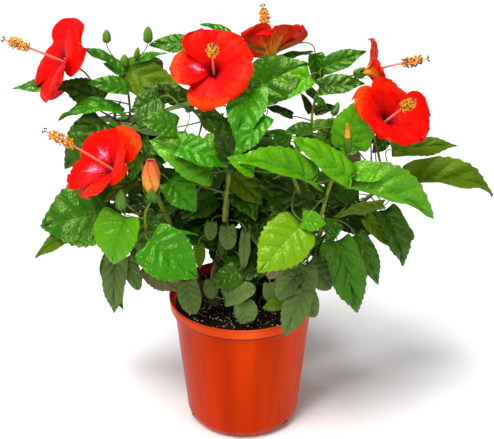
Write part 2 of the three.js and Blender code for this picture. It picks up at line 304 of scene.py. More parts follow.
def blade(plan, length, width, fold, droop, curl, twist, lobe, wave, roundness, rng):
    """Points of a leaf's upper face: the joint at the origin, the tip along +X, facing +Z."""
    share = plan.share[:, None]
    across = plan.across[None, :]
    side = np.where(np.arange(plan.columns) < plan.columns // 2, -1.0, 1.0)[None, :]
    reach = share - lobe * np.sin(np.pi * np.clip(share / 0.3, 0, 1))
    pointed = np.sin(np.pi * share ** 0.65) ** 0.8 * (1 - 0.25 * smooth(0.6, 1, share))
    rounded = np.sqrt(np.clip(1 - (2 * share ** 0.85 - 1) ** 2, 0, 1))
    half = pointed + roundness * (rounded - pointed)
    tooth = plan.tooth[:, None] * smooth(0.08, 0.3, share)
    midrib = share ** 2
    out = np.abs(across)
    outermost = out > 0.99
    x = length * (midrib + (reach - midrib) * out ** 1.2)
    x = x + outermost * length * 0.014 * tooth
    y = 0.5 * width * half * out * (1 + outermost * TOOTH_SHARE * (2 * tooth - 1))
    y = side * np.maximum(y, VEIN_HALF_WIDTH * (1 - 0.75 * share))
    y = y * (1 + rng.uniform(-0.06, 0.06) * side)
    quilt = np.sin(np.pi * plan.phase)[:, None] * np.sin(np.pi * np.clip(out, 0, 1) ** 0.8)
    z = QUILT_SHARE * length * quilt
    turns = rng.uniform(1.6, 2.4)
    start = rng.uniform(0, TURN)
    z = z + wave * length * out ** 2 * np.sin(TURN * turns * share + start + side)
    lift = fold + curl * out
    y, z = y * np.cos(lift) - side * z * np.sin(lift), np.abs(y) * np.sin(lift) + z * np.cos(lift)
    roll = twist * np.clip(x / length, 0, 1)
    y, z = y * np.cos(roll) - z * np.sin(roll), y * np.sin(roll) + z * np.cos(roll)
    along = np.linspace(BEND_FROM, BEND_TO, BEND_STEPS)
    slope = droop * np.sign(along) * np.abs(along) ** BEND_POWER
    step = (along[1] - along[0]) * length
    level = np.cumsum(np.cos(slope)) * step
    fall = -np.cumsum(np.sin(slope)) * step
    level, fall = level - np.interp(0, along, level), fall - np.interp(0, along, fall)
    here = np.clip(x / length, BEND_FROM, BEND_TO)
    angle = np.interp(here, along, slope)
    points = np.stack([np.interp(here, along, level) + z * np.sin(angle), y,
                       np.interp(here, along, fall) + z * np.cos(angle)], axis=-1)
    tip = np.array([np.interp(1, along, level), 0, np.interp(1, along, fall)])
    return points, tip


def chord_share(droop):
    """Straight distance from joint to tip of a drooping leaf, as a share of its length."""
    along = np.linspace(0, 1, BEND_STEPS)
    slope = droop * along ** BEND_POWER
    return math.hypot(np.cos(slope).mean(), np.sin(slope).mean())


def leaf_mesh(plan, base, tip, width, facing, tint, rng, fold=0.2, droop=0.5, curl=0.0, twist=0.0,
              lobe=0.12, wave=0.02):
    """Points, faces and slots of a leaf whose blade runs from base to tip and faces facing."""
    base, tip = np.asarray(base, float), np.asarray(tip, float)
    chord = np.linalg.norm(tip - base)
    roundness = ROUNDNESS if tint in ROUND_TINTS and chord < ROUND_LEAF_LENGTH else 0.0
    points, end = blade(plan, chord / chord_share(droop), width, fold, droop, curl, twist, lobe, wave,
                        roundness, rng)
    pitch = math.atan2(end[2], end[0])
    x, z = points[..., 0].copy(), points[..., 2].copy()
    points[..., 0] = x * math.cos(pitch) + z * math.sin(pitch)
    points[..., 2] = -x * math.sin(pitch) + z * math.cos(pitch)
    along = unit(tip - base)
    normal = unit(facing - np.dot(facing, along) * along)
    points = base + points @ np.stack([along, np.cross(normal, along), normal])
    row_way = np.gradient(points, axis=0)
    column_way = np.gradient(points, axis=1)
    outward = np.cross(row_way, column_way)
    outward /= np.maximum(np.linalg.norm(outward, axis=2), 1e-6)[..., None]
    for _ in range(3):
        outward[1:-1] = (outward[:-2] + outward[1:-1] + outward[2:]) / 3
    below = (points - LEAF_THICKNESS * outward).reshape(-1, 3)[plan.inner]
    shade = tint in DARK_TINTS
    vein_slot = DARK_VEIN_SLOT if shade else VEIN_SLOT
    top = np.where(plan.vein, vein_slot, LEAF_TINTS.index(tint))
    under = np.where(plan.midrib, vein_slot, DARK_UNDER_SLOT if shade else UNDER_SLOT)
    return (np.concatenate([points.reshape(-1, 3), below]), np.concatenate([plan.top, plan.under]),
            np.concatenate([top, under]))


def facing_from_tilt(base, tip, tilt):
    """The way a leaf faces: 0 squarely at the front view, 90 edge on, up to 180 seen from below."""
    along = unit(np.subtract(tip, base))
    seen = unit(TOWARD_CAMERA - np.dot(TOWARD_CAMERA, along) * along)
    up = np.cross(along, seen)
    up = up if up[2] > 0 else -up
    return math.cos(math.radians(tilt)) * seen + math.sin(math.radians(tilt)) * up


# The leaves that show in the front view: joint, tip, width, then tilt, fold and droop in degrees, tint
FRONT_LEAVES = (
    # Low on the left
    ((-194, -66, 398), (-299, -72, 376), 102, 14, 12, 35, "mid"),
    ((-140, -92, 426), (-201, -96, 412), 30, 30, 12, 15, "deep"),
    ((-129, -96, 412), (-149, -100, 334), 42, 10, 12, 15, "dark"),
    ((-239, -72, 375), (-311, -72, 324), 28, 20, 10, 50, "olive"),
    ((-166, -138, 426), (-184, -150, 355), 76, 20, 26, 30, "fresh"),
    ((-132, -158, 398), (-63, -170, 344), 76, 5, 14, 20, "bright"),
    ((-190, -60, 326), (-199, -62, 222), 42, 10, 16, 20, "old"),
    ((-176, -62, 320), (-159, -66, 266), 26, 10, 12, 15, "old"),
    ((-200, -58, 322), (-213, -60, 274), 24, 10, 12, 15, "dark"),
    ((-214, -60, 450), (-187, -64, 414), 34, 20, 12, 15, "dark"),
    ((-160, -80, 448), (-141, -84, 410), 30, 20, 12, 15, "deep"),
    ((-139, -108, 335), (-94, -116, 292), 50, 15, 8, 20, "brown"),
    ((-84, -80, 290), (-74, -88, 236), 36, 5, 6, 15, "old"),
    # Left of the middle
    ((-92, -92, 542), (-142, -98, 553), 42, 25, 10, 25, "mid"),
    # this leaf's lighter tint is a painted highlight, a glossy sheen
    ((-42, -112, 482), (-130, -108, 528), 72, 26, 12, 40, "painted_sheen_green"),
    ((-87, -84, 456), (-121, -84, 476), 22, 10, 12, 15, "dark"),
    ((-88, -120, 524), (-18, -128, 496), 44, 28, 14, 35, "bright"),
    ((-54, -30, 542), (-31, -35, 506), 32, 10, 10, 20, "olive"),
    ((-104, -105, 466), (-66, -118, 423), 46, 10, 14, 35, "bright"),
    ((-36, -50, 464), (-76, -56, 408), 44, 5, 8, 20, "deep"),
    ((-147, -100, 508), (-158, -106, 463), 22, 10, 10, 20, "fresh"),
    ((-150, -106, 471), (-197, -112, 435), 22, 20, 10, 20, "olive"),
    # Middle
    ((14, -75, 594), (-7, -125, 531), 58, 10, 22, 30, "bright"),
    ((33, -110, 565), (-10, -135, 513), 38, 25, 16, 30, "bright"),
    ((96, -130, 472), (-18, -156, 515), 64, 40, 34, 50, "fresh"),
    ((16, -156, 503), (-20, -160, 524), 30, 20, 14, 20, "fresh"),
    ((-6, -118, 491), (-39, -112, 551), 44, 15, 14, 20, "deep"),
    ((-8, -100, 526), (-50, -100, 559), 30, 30, 12, 15, "dark"),
    ((82, -150, 416), (22, -185, 360), 72, 5, 10, 25, "lime"),
    ((84, -152, 426), (118, -148, 418), 30, 10, 8, 10, "fresh"),
    ((152, -120, 476), (66, -118, 540), 42, 26, 8, 20, "fresh"),
    ((-16, -55, 456), (30, -60, 407), 42, 10, 20, 20, "olive"),
    ((28, -66, 446), (94, -72, 418), 46, 20, 12, 20, "dark"),
    ((106, -88, 426), (20, -92, 455), 40, 20, 8, 25, "deep"),
    # Right
    # this leaf's lighter tint is a painted highlight, a glossy sheen
    ((158, -112, 458), (273, -122, 413), 88, 38, 36, 50, "painted_sheen_green"),
    ((195, -108, 480), (151, -112, 473), 28, 20, 6, 10, "fresh"),
    ((252, -24, 427), (379, -22, 404), 72, 38, 34, 68, "olive"),
    ((135, -70, 458), (93, -72, 449), 22, 20, 10, 15, "dark"),
    ((148, -44, 404), (108, -46, 431), 24, 20, 10, 15, "dark"),
    ((157, -50, 370), (119, -52, 390), 24, 20, 10, 15, "deep"),
    ((-150, -80, 329), (-168, -82, 362), 24, 10, 10, 15, "dark"),
    ((229, 30, 458), (332, 34, 463), 36, 28, 14, 20, "olive"),
    ((211, -60, 398), (242, -76, 312), 45, 18, 20, 40, "dark"),
    ((183, -70, 391), (219, -74, 345), 26, 15, 12, 20, "olive"),
    ((140, -92, 364), (174, -100, 245), 60, 5, 20, 25, "mid"),
    ((167, -78, 366), (205, -84, 285), 36, 15, 12, 30, "dark"),
    ((175, -40, 406), (124, -44, 392), 42, 15, 10, 15, "deep"),
    ((135, -90, 362), (115, -94, 329), 24, 20, 10, 15, "fresh"),
    ((204, -50, 378), (145, -50, 362), 44, 15, 10, 15, "deep"),
    ((168, -60, 425), (115, -62, 448), 44, 20, 10, 20, "dark"),
    ((104, -80, 362), (120, -82, 320), 26, 10, 10, 15, "dark"),
    ((155, -80, 508), (162, -76, 578), 60, 5, 10, 20, "fresh"),
    ((153, -68, 498), (167, -70, 466), 26, 15, 10, 15, "brown"),
    ((141, -84, 501), (171, -86, 505), 18, 30, 12, 15, "bright"),
    ((205, -90, 419), (134, -96, 404), 24, 140, 8, 15, "olive"),
    ((122, -84, 374), (148, -86, 385), 34, 10, 10, 15, "mid"),
    ((109, -100, 375), (85, -104, 359), 26, 15, 10, 20, "dark"),
    ((213, -28, 500), (192, -32, 478), 24, 20, 10, 10, "dark"),
    ((100, -60, 524), (59, -66, 523), 26, 30, 14, 20, "dark"),
    # Over the rim on the right
    ((86, -112, 336), (76, -118, 264), 62, 5, 10, 20, "old"),
    ((90, -122, 300), (63, -127, 220), 42, 8, 12, 20, "old"),
    ((80, -118, 322), (52, -120, 282), 30, 15, 12, 20, "old"),
    ((92, -117, 300), (108, -118, 248), 28, 10, 10, 15, "old"),
    ((98, -100, 332), (134, -96, 287), 44, 10, 8, 20, "old"),
    ((76, -110, 349), (37, -108, 311), 32, 30, 14, 25, "brown"),
    # Top right
    ((11, 22, 556), (98, 24, 598), 74, 14, 10, 20, "mid"),
    ((100, 12, 583), (30, 10, 542), 40, 12, 10, 15, "fresh"),
    ((48, 80, 586), (110, 88, 596), 20, 52, 8, 8, "mid"),
    ((110, 68, 600), (114, 68, 550), 34, 12, 34, 20, "mid"),
    ((122, 58, 580), (186, 56, 607), 32, 10, 12, 15, "mid"),
    ((116, 30, 556), (184, 32, 564), 36, 22, 14, 20, "dark"),
    ((108, 20, 523), (141, 25, 530), 24, 40, 12, 20, "deep"),
    ((103, -20, 513), (136, -20, 519), 24, 40, 12, 20, "dark"),
    ((74, 8, 521), (32, 10, 535), 22, 50, 14, 20, "deep"),
    ((108, 18, 550), (89, 16, 565), 16, 20, 12, 15, "dark"),
    ((102, 18, 524), (87, 16, 555), 15, 30, 12, 15, "deep"),
    ((108, 8, 549), (126, 6, 537), 13, 30, 12, 15, "mid"),
    ((118, -20, 506), (148, -22, 528), 28, 20, 12, 15, "dark"),
    ((71, -24, 494), (37, -26, 511), 24, 20, 12, 15, "mid"),
    # Top left
    ((-172, 8, 595), (-74, -10, 548), 56, 10, 8, 20, "olive"),
    ((-74, 25, 627), (-138, 35, 623), 30, 20, 10, 15, "mid"),
    ((-166, 15, 600), (-110, 20, 615), 22, 45, 14, 15, "bright"),
    ((-176, 0, 597), (-238, 0, 631), 24, 44, 12, 15, "mid"),
    ((-172, -5, 593), (-202, -5, 608), 18, 30, 12, 10, "mid"),
    ((-165, -20, 573), (-223, -30, 586), 32, 30, 14, 20, "mid"),
    ((-173, -30, 540), (-264, -48, 536), 42, 50, 12, 75, "bright"),
    ((-202, -40, 533), (-260, -52, 461), 56, 8, 10, 25, "dark"),
    ((-262, 8, 566), (-338, 0, 566), 30, 40, 12, 20, "mid"),
    ((-203, -5, 552), (-268, -8, 580), 44, 20, 12, 15, "dark"),
    ((-119, -32, 564), (-161, -40, 545), 42, 10, 10, 20, "dark"),
    ((-72, -12, 549), (-149, -15, 573), 34, 20, 14, 20, "deep"),
    ((-72, -35, 557), (-133, -45, 537), 20, 60, 10, 15, "old"),
    ((-19, 10, 648), (-62, 15, 660), 18, 50, 12, 10, "mid"),
    ((-37, -25, 531), (-80, -28, 544), 20, 55, 12, 10, "dark"),
    # Low round the stems' feet
    ((-46, -50, 374), (-49, -56, 346), 20, 5, 6, 10, "old"),
    ((-22, -55, 370), (-20, -62, 333), 27, 5, 6, 15, "old"),
    ((5, -58, 361), (2, -68, 305), 18, 10, 8, 15, "old"),
    ((-66, -55, 338), (-65, -60, 299), 20, 10, 8, 15, "olive"),
    ((-5, -72, 304), (-46, -76, 276), 36, 10, 14, 25, "dark"),
    ((-48, -62, 282), (-49, -66, 250), 24, 5, 8, 15, "old"),
    ((-26, -82, 260), (20, -88, 282), 36, 15, 12, 20, "old"),
    ((0, -90, 258), (8, -98, 226), 38, 15, 10, 20, "old"),
    ((42, -72, 282), (44, -76, 250), 26, 10, 8, 15, "old"),
    ((62, -88, 256), (30, -90, 248), 22, 25, 12, 20, "olive"),
    ((20, -62, 300), (-10, -64, 288), 28, 20, 12, 20, "deep"),
)

# Places left open, where the sky shows through the crown from the front: x and z where the line
# of sight crosses y = 0, and radius
OPEN_PLACES = (
    (-104, 526, 16), (-83, 529, 15), (-63, 507, 13), (-80, 505, 7), (41, 539, 13), (63, 543, 21),
    (85, 534, 15), (49, 515, 13), (66, 518, 12), (61, 501, 9), (164, 559, 16), (118, 532, 9),
    (108, 507, 7), (-214, 363, 9), (-217, 545, 7), (-172, 529, 4), (-192, 554, 12), (-174, 560, 7),
    (-164, 557, 7), (102, 583, 8), (121, 599, 9), (150, 596, 12), (-22, 473, 5), (184, 459, 15),
    (196, 454, 9), (236, 449, 11), (-105, 608, 9), (130, 276, 7), (188, 332, 19), (-338, 345, 20),
    (-322, 364, 19), (-311, 399, 11), (340, 462, 14),
)

# ------------------------------------------------------------------ blooms

PETAL_SLOTS = ("throat", "wine", "deep_red", "red", "warm_red", "orange_red", "painted_sheen_soft", "painted_sheen",
               "painted_sheen_light", "gold", "amber", "back_red")
PETAL_ROWS = 24
PETAL_COLUMNS = 19
PETAL_THICKNESS = 0.5
PETALS = 5
ANTHERS = 105
STIGMAS = 5
BRACTS = 7

# Slots of the pieces that these parts go into, in the order of their materials further down
COLUMN, ANTHER, DARK_ANTHER, STIGMA = range(4)
CALYX, BUD, PETIOLE, TWIG, FURLED_GOLD, FURLED_ORANGE, FURLED_RED, FURLED_MOUTH = range(8)
OLD_WOOD, YOUNG_WOOD = range(2)

# throat (x, y, z), way it faces, column length, and its petals: turn and rise in degrees, length,
# width share, tint of the outer part, and "lit" where a painted highlight, a pale pink sheen, lies near the
# throat
FRONT_BLOOMS = (
    ((-262, -4, 610), (-0.78, -0.42, 0.48), 91,
     ((101, 0, 66, 1.15, "deep_red"), (38, 2, 60, 1.3, "red"), (325, 10, 60, 1.35, "deep_red", "lit"),
      (260, 0, 63, 1.5, "red"), (195, 0, 61, 1.4, "deep_red"))),
    ((-184, -116, 488), (-0.70, -0.34, 0.63), 115,
     ((152, 22, 64, 1.1, "red", "lit"), (84, 4, 65, 1.15, "orange_red"), (26, 16, 56, 1.1, "warm_red"),
      (295, 19, 57, 1.55, "warm_red"), (228, 28, 64, 1.1, "red", "lit"))),
    ((-39, -66, 616), (0.0, -0.68, 0.73), 72,
     ((105, 10, 64, 1.1, "red"), (44, 8, 62, 1.0, "warm_red"), (325, 15, 59, 1.1, "warm_red"),
      (261, 0, 63, 1.0, "orange_red"), (180, 7, 63, 1.0, "orange_red", "lit"))),
    ((42, 66, 599), (-0.13, 0.68, 0.72), 80,
     ((32, 20, 58, 1.4, "warm_red"), (92, 24, 50, 1.35, "red"), (143, 22, 64, 1.45, "red"),
      (215, 34, 52, 1.1, "warm_red"), (325, 28, 52, 1.2, "red"))),
    ((188, 38, 580), (0.94, -0.14, 0.27), 88,
     ((88, 18, 52, 0.9, "red"), (16, 14, 50, 1.2, "red"), (304, 18, 44, 1.1, "red"),
      (232, 26, 42, 1.0, "red"), (160, 28, 50, 1.2, "red"))),
    ((208, -62, 541), (0.49, -0.56, 0.67), 62,
     ((132, 4, 63, 1.2, "orange_red"), (58, 10, 61, 1.3, "warm_red"), (342, 17, 66, 1.15, "red"),
      (278, 31, 59, 1.05, "red"), (210, 25, 64, 1.1, "red"))),
)
BACK_BLOOMS = (
    ((-52, 136, 540), (0.0, 0.86, 0.5), 60,
     tuple((10 + 360 // PETALS * number, 10, 50, 1.1, "red") for number in range(PETALS))),
)

# base, tip, radius, kind
BUDS = (
    ((-196, 5, 635), (-195, 5, 655), 5.8, "green"),
    ((-137, 15, 632), (-136, 15, 657), 6.6, "green"),
    ((-155, 10, 609), (-151, 10, 627), 4.0, "green"),
    ((-172, 5, 598), (-171, 5, 618), 6.0, "green"),
    ((-169, -150, 441), (-167, -152, 474), 7.5, "green"),
    ((149, -106, 508), (146, -110, 556), 6.2, "orange"),
    ((121, -40, 513), (119, -40, 534), 5.0, "green"),
    ((-90, 205, 455), (-95, 225, 470), 6.0, "green"),
    ((150, 190, 455), (160, 208, 472), 6.0, "green"),
)
FURLED_BASE = (-125, -150, 456)
FURLED_TIP = (-125, -148, 515)
FURLED_RADIUS = 12.5
FURLED_SIDES = 60
FURLED_TWIST = 1.5  # radians that its petals wind from foot to tip
FURLED_CALYX_RISE = 14
FURLED_CALYX_SIZE = 22

# Shoots that show: first and last radius, slot, places along them
SHOOTS = (
    (2.2, 1.3, OLD_WOOD, ((-185, -10, 520), (-166, -20, 528), (-166, -10, 556), (-171, 0, 583),
                          (-173, 5, 597))),
    (3.4, 2.2, YOUNG_WOOD, ((-27, -66, 385), (-24, -80, 424), (-19, -90, 466), (-16, -100, 500))),
    (3.6, 2.0, YOUNG_WOOD, ((112, -70, 385), (117, -80, 403), (124, -95, 447), (133, -105, 479),
                            (144, -104, 505))),
    (2.6, 1.4, YOUNG_WOOD, ((104, -30, 470), (103, -4, 497), (105, 10, 530), (112, 25, 549), (120, 40, 564))),
    (1.4, 1.4, YOUNG_WOOD, ((182, -30, 548), (204, -50, 463), (208, -50, 459))),
    (1.6, 1.2, OLD_WOOD, ((204, -50, 462), (198, -20, 500), (204, 0, 530))),
    (1.2, 0.9, OLD_WOOD, ((190, -50, 459), (189, -30, 498), (186, -20, 530))),
    (1.0, 0.8, OLD_WOOD, ((198, -50, 459), (196, -36, 480), (192, -20, 520))),
    (2.0, 1.5, YOUNG_WOOD, ((30, 70, 570), (40, 72, 588), (46, 68, 600))),
    (2.0, 1.6, YOUNG_WOOD, ((-136, -138, 400), (-136, -146, 432), (-126, -150, 456))),
    (2.0, 1.2, YOUNG_WOOD, ((-150, -100, 410), (-167, -112, 440), (-150, -104, 480))),
    (1.6, 1.2, YOUNG_WOOD, ((-164, -104, 404), (-170, -78, 370), (-182, -64, 340))),
)


def turned_frame(way, roll):
    """Rows of two axes across a way and the way itself, turned about it by roll degrees."""
    way = unit(way)
    first = unit(np.cross((0, 0, 1) if abs(way[2]) < 0.95 else (0, 1, 0), way))
    second = np.cross(way, first)
    angle = math.radians(roll)
    return np.stack([first * math.cos(angle) + second * math.sin(angle),
                     second * math.cos(angle) - first * math.sin(angle), way])


def petal(length, rise, width_share, rng):
    """Points of one petal's inner face, growing out along +X round a bloom that faces +Z."""
    share = (np.sin(0.5 * math.pi * np.linspace(0.0, 0.985, PETAL_ROWS)) ** 1.15)[:, None]
    across = np.linspace(-1, 1, PETAL_COLUMNS)[None, :]
    knots = (0, 0.12, 0.26, 0.45, 0.7, 0.88, 1.0)
    out = length * math.cos(rise) * np.interp(share, knots, (0.05, 0.09, 0.2, 0.44, 0.76, 0.94, 1.0))
    up = length * np.interp(share, knots, (-0.26, -0.12, 0.01, 0.10, 0.12, 0.07, 0.0))
    up = up + out * math.tan(rise)
    end = np.clip((share - 0.5) / 0.5, 0, 1)
    half = 0.5 * width_share * length * (0.14 + 0.86 * smooth(0.0, 0.6, share)) * np.sqrt(1 - end ** 2.6)
    y = half * across
    out = out - 0.06 * length * end * across ** 2
    angle = np.clip(y / (out + 0.12 * length), -1.3, 1.3)
    flat = smooth(0.12, 0.5, share)
    x = (1 - flat) * out * np.cos(angle) + flat * out
    y = (1 - flat) * out * np.sin(angle) + flat * y
    start = rng.uniform(0, TURN)
    ruffle = np.sin(2.2 * math.pi * across + start) * (0.35 + 0.65 * np.abs(across))
    ruffle = ruffle + 0.6 * np.sin(4.6 * math.pi * across + 2.1 * start) * share
    z = up + 0.045 * length * share ** 2.2 * ruffle
    z = z + 0.10 * length * across * smooth(0.15, 0.6, share)
    z = z - 0.06 * length * across ** 2 * smooth(0.3, 0.9, share)
    pleat = np.where(np.arange(PETAL_COLUMNS) % 2, 1.0, -1.0)[None, :]
    z = z + 0.32 * pleat * np.clip(4 * share * (1 - share), 0, 1)
    return np.stack([x, y, z + 0 * x], axis=-1), share[:, 0]


def bands(value, limits, tints, rest):
    """Petal slots by value: the tint of the first limit that it stays under, or else the rest."""
    slots = [PETAL_SLOTS.index(tint) for tint in tints]
    return np.select([value < limit for limit in limits], slots, rest)


def petal_slots(share, row, column, outer, lit, rng):
    """Slots of a petal's inner and outer faces, shading from a dark throat in streaks, with a painted
    highlight of pale pink near the throat where the petal is lit.
    """
    streak = np.array([rng.uniform(-0.04, 0.04) for _ in range(PETAL_COLUMNS)])[column]
    here = share[row] + streak
    aside = np.abs(column - PETAL_COLUMNS // 2 + 0.5) / (PETAL_COLUMNS / 2)
    rim = here + 0.10 * aside
    top = np.full(len(rim), PETAL_SLOTS.index(outer))
    if outer == "orange_red":
        top = bands(rim, (0.74,), ("warm_red",), top)
    top = bands(rim, (0.60,), ("red",), top)
    top = bands(here, (0.15, 0.23, 0.34), ("throat", "wine", "deep_red"), top)
    # A lit petal gets a painted highlight: a pale pink sheen patch near the throat, in three steps.
    if lit:
        sheen_patch = np.abs(here - 0.36) / 0.17 + aside / 0.42
        top = bands(sheen_patch, (0.35, 0.65, 1.0), ("painted_sheen_light", "painted_sheen", "painted_sheen_soft"), top)
    behind = share[row] + 3.5 * streak + 0.22 * aside
    back = bands(behind, (0.34, 0.52), ("gold", "amber"), PETAL_SLOTS.index("back_red"))
    return top, back


def add_petals(piece, place, axes, sizes, rng):
    rows, columns = PETAL_ROWS, PETAL_COLUMNS
    faces = grid_faces(rows, columns)
    row = np.repeat(np.arange(rows - 1), columns - 1)
    column = np.tile(np.arange(columns - 1), rows - 1)
    for turn, rise, length, width_share, outer, *lit in sizes:
        points, share = petal(length, math.radians(rise), width_share, rng)
        sine, cosine = math.sin(math.radians(turn)), math.cos(math.radians(turn))
        points = points @ np.array([[cosine, sine, 0], [-sine, cosine, 0], [0, 0, 1]])
        outward = np.cross(np.gradient(points, axis=0), np.gradient(points, axis=1))
        outward /= np.maximum(np.linalg.norm(outward, axis=2), 1e-6)[..., None]
        below = points - PETAL_THICKNESS * outward
        top, back = petal_slots(share, row, column, outer, lit, rng)
        piece.add(place + points.reshape(-1, 3) @ axes, faces, top)
        piece.add(place + below.reshape(-1, 3) @ axes, faces[:, ::-1], back)


def ball():
    """Points and faces of a ball of radius 1 with twenty triangles."""
    golden = (1 + math.sqrt(5)) / 2
    points = []
    for a in (-1, 1):
        for b in (-golden, golden):
            points += [(0, a, b), (a, b, 0), (b, 0, a)]
    points = np.array(points) / math.hypot(1, golden)
    faces = []
    for i, j, k in itertools.combinations(range(len(points)), 3):
        sides = [np.linalg.norm(points[p] - points[q]) for p, q in ((i, j), (j, k), (i, k))]
        if max(sides) < 1.2:
            normal = np.cross(points[j] - points[i], points[k] - points[i])
            faces.append((i, j, k) if np.dot(normal, points[i]) > 0 else (i, k, j))
    return points, np.array(faces)


BALL_POINTS, BALL_FACES = ball()


def add_ball(piece, place, radius, slot, squash=(1, 1, 1)):
    piece.add(np.asarray(place) + BALL_POINTS * radius * np.array(squash), BALL_FACES, slot)


def add_column(piece, place, axes, length, rng):
    """The staminal column of a bloom, with its anthers and five stigmas."""
    way = axes[2]
    lean = 0.05 * length * (axes[0] * rng.uniform(-1, 1) + np.array([0, 0, -0.8]))
    start = place - 0.16 * length * way
    path = bent(start, place + 0.5 * length * way - lean, place + 0.97 * length * way, 12)
    add_tube(piece, path, tapered(2.1, 0.9, 12), 8, COLUMN)
    _, across, other = axes_along(path)
    for number in range(ANTHERS):
        share = 0.60 + 0.34 * (number / ANTHERS) ** 0.85
        step = share * (len(path) - 1)
        low = int(step)
        point = path[low] + (path[low + 1] - path[low]) * (step - low)
        spread = around(across[low], other[low], number * GOLDEN_ANGLE)
        reach = rng.uniform(3.8, 8.8) * (0.7 + 0.3 * math.sin(math.pi * (share - 0.6) / 0.34))
        tip = point + spread * reach + way * rng.uniform(0.5, 2.5)
        filament = np.stack([point, (point + tip) / 2 + way * 0.4, tip])
        add_tube(piece, filament, (0.28, 0.24, 0.2), 3, COLUMN)
        slot = DARK_ANTHER if rng.random() < 0.2 else ANTHER
        add_ball(piece, tip, rng.uniform(1.2, 1.8), slot, (1.1, 0.9, 1.0))
    end = path[-1]
    for number in range(STIGMAS):
        spread = around(axes[0], axes[1], TURN * number / STIGMAS + rng.uniform(-0.3, 0.3))
        tip = end + way * 5.5 + spread * rng.uniform(3.0, 4.6)
        add_tube(piece, bent(end, end + way * 4, tip, 4), tapered(0.55, 0.4, 4), 5, COLUMN)
        add_ball(piece, tip, 1.25, STIGMA)


def add_lathe(piece, place, axes, outline, lobes, slots, sides):
    """A body turned about an axis. outline has radius and height; lobes gives a factor for the radius by
    angle and height, and slots has a row for each row of faces."""
    angle = np.arange(sides) * TURN / sides
    height = outline[:, 1:2]
    radius = outline[:, 0:1] * lobes(angle[None, :], height)
    points = np.stack([radius * np.cos(angle), radius * np.sin(angle), height + 0 * radius], axis=-1)
    faces = grid_faces(len(outline), sides, closed=True)[:, ::-1]
    piece.add(place + points.reshape(-1, 3) @ axes, faces, slots.ravel())


def add_calyx(piece, place, axes, size):
    """Five pointed sepals joined in a cup, with narrow bracts below it."""
    sides, rows = 40, 9
    angle = np.arange(sides) * TURN / sides
    share = np.linspace(0, 1, rows)[:, None]
    point = np.abs(((5 * angle / TURN) % 1) - 0.5) * 2
    height = size * (0.62 + 0.55 * (1 - point[None, :])) * share
    radius = size * (0.12 + 0.34 * np.sin(0.5 * math.pi * np.clip(1.5 * share, 0, 1)) + 0.10 * share ** 3)
    points = np.stack([radius * np.cos(angle), radius * np.sin(angle), height - 0.75 * size], axis=-1)
    inner = points * np.array([0.93, 0.93, 1.0])
    faces = grid_faces(rows, sides, closed=True)
    piece.add(place + points.reshape(-1, 3) @ axes, faces[:, ::-1], CALYX)
    piece.add(place + inner.reshape(-1, 3) @ axes, faces, CALYX)
    for number in range(BRACTS):
        out = around(axes[0], axes[1], TURN * (number + 0.5) / BRACTS)
        foot = place - axes[2] * 0.74 * size + out * 0.12 * size
        tip = foot + out * 0.42 * size + axes[2] * 0.42 * size
        add_tube(piece, bent(foot, foot + out * 0.36 * size, tip, 5), (0.9, 1.0, 0.9, 0.6, 0.15), 5, CALYX)


BUD_SIDES = 30
BUD_BRACTS = 6
BUD_SHARES, BUD_RADII = (0, 0.08, 0.25, 0.5, 0.75, 0.92, 1), (0.15, 0.62, 0.95, 1.0, 0.74, 0.36, 0.03)


def ridged(angle, height):
    return 1 + 0.09 * np.cos(5 * angle) + 0.02 * np.cos(10 * angle + height)


def add_bud(piece, base, tip, radius, kind, rng):
    """A bud with its bracts. An orange one has come out of its calyx, which is its lower half."""
    base, tip = np.asarray(base, float), np.asarray(tip, float)
    length = np.linalg.norm(tip - base)
    axes = turned_frame(tip - base, rng.uniform(0, 72))
    shares = np.linspace(0, 1, 14)
    outline = np.stack([np.interp(shares, BUD_SHARES, BUD_RADII) * radius, shares * length], axis=1)
    rows = np.full(len(shares) - 1, BUD)
    if kind == "orange":
        rows = np.select([shares[:-1] < 0.5, shares[:-1] < 0.75], [CALYX, FURLED_GOLD], FURLED_ORANGE)
        outline[shares > 0.5, 0] *= 0.7
    add_lathe(piece, base, axes, outline, ridged, np.repeat(rows, BUD_SIDES), BUD_SIDES)
    for number in range(BUD_BRACTS):
        out = around(axes[0], axes[1], TURN * number / BUD_BRACTS)
        foot = base + out * 0.12 * radius
        through = base + out * radius * 1.15 + axes[2] * 0.08 * length
        end = base + out * radius * 1.12 + axes[2] * 0.36 * length
        radii = np.array((0.5, 0.7, 0.7, 0.5, 0.12)) * radius / 6
        add_tube(piece, bent(foot, through, end, 5), radii, 5, CALYX)


FURLED_SHARES, FURLED_RADII = (0.04, 0.2, 0.4, 0.62, 0.82, 0.93, 1), (0.3, 0.66, 0.93, 1.0, 0.8, 0.56, 0.5)


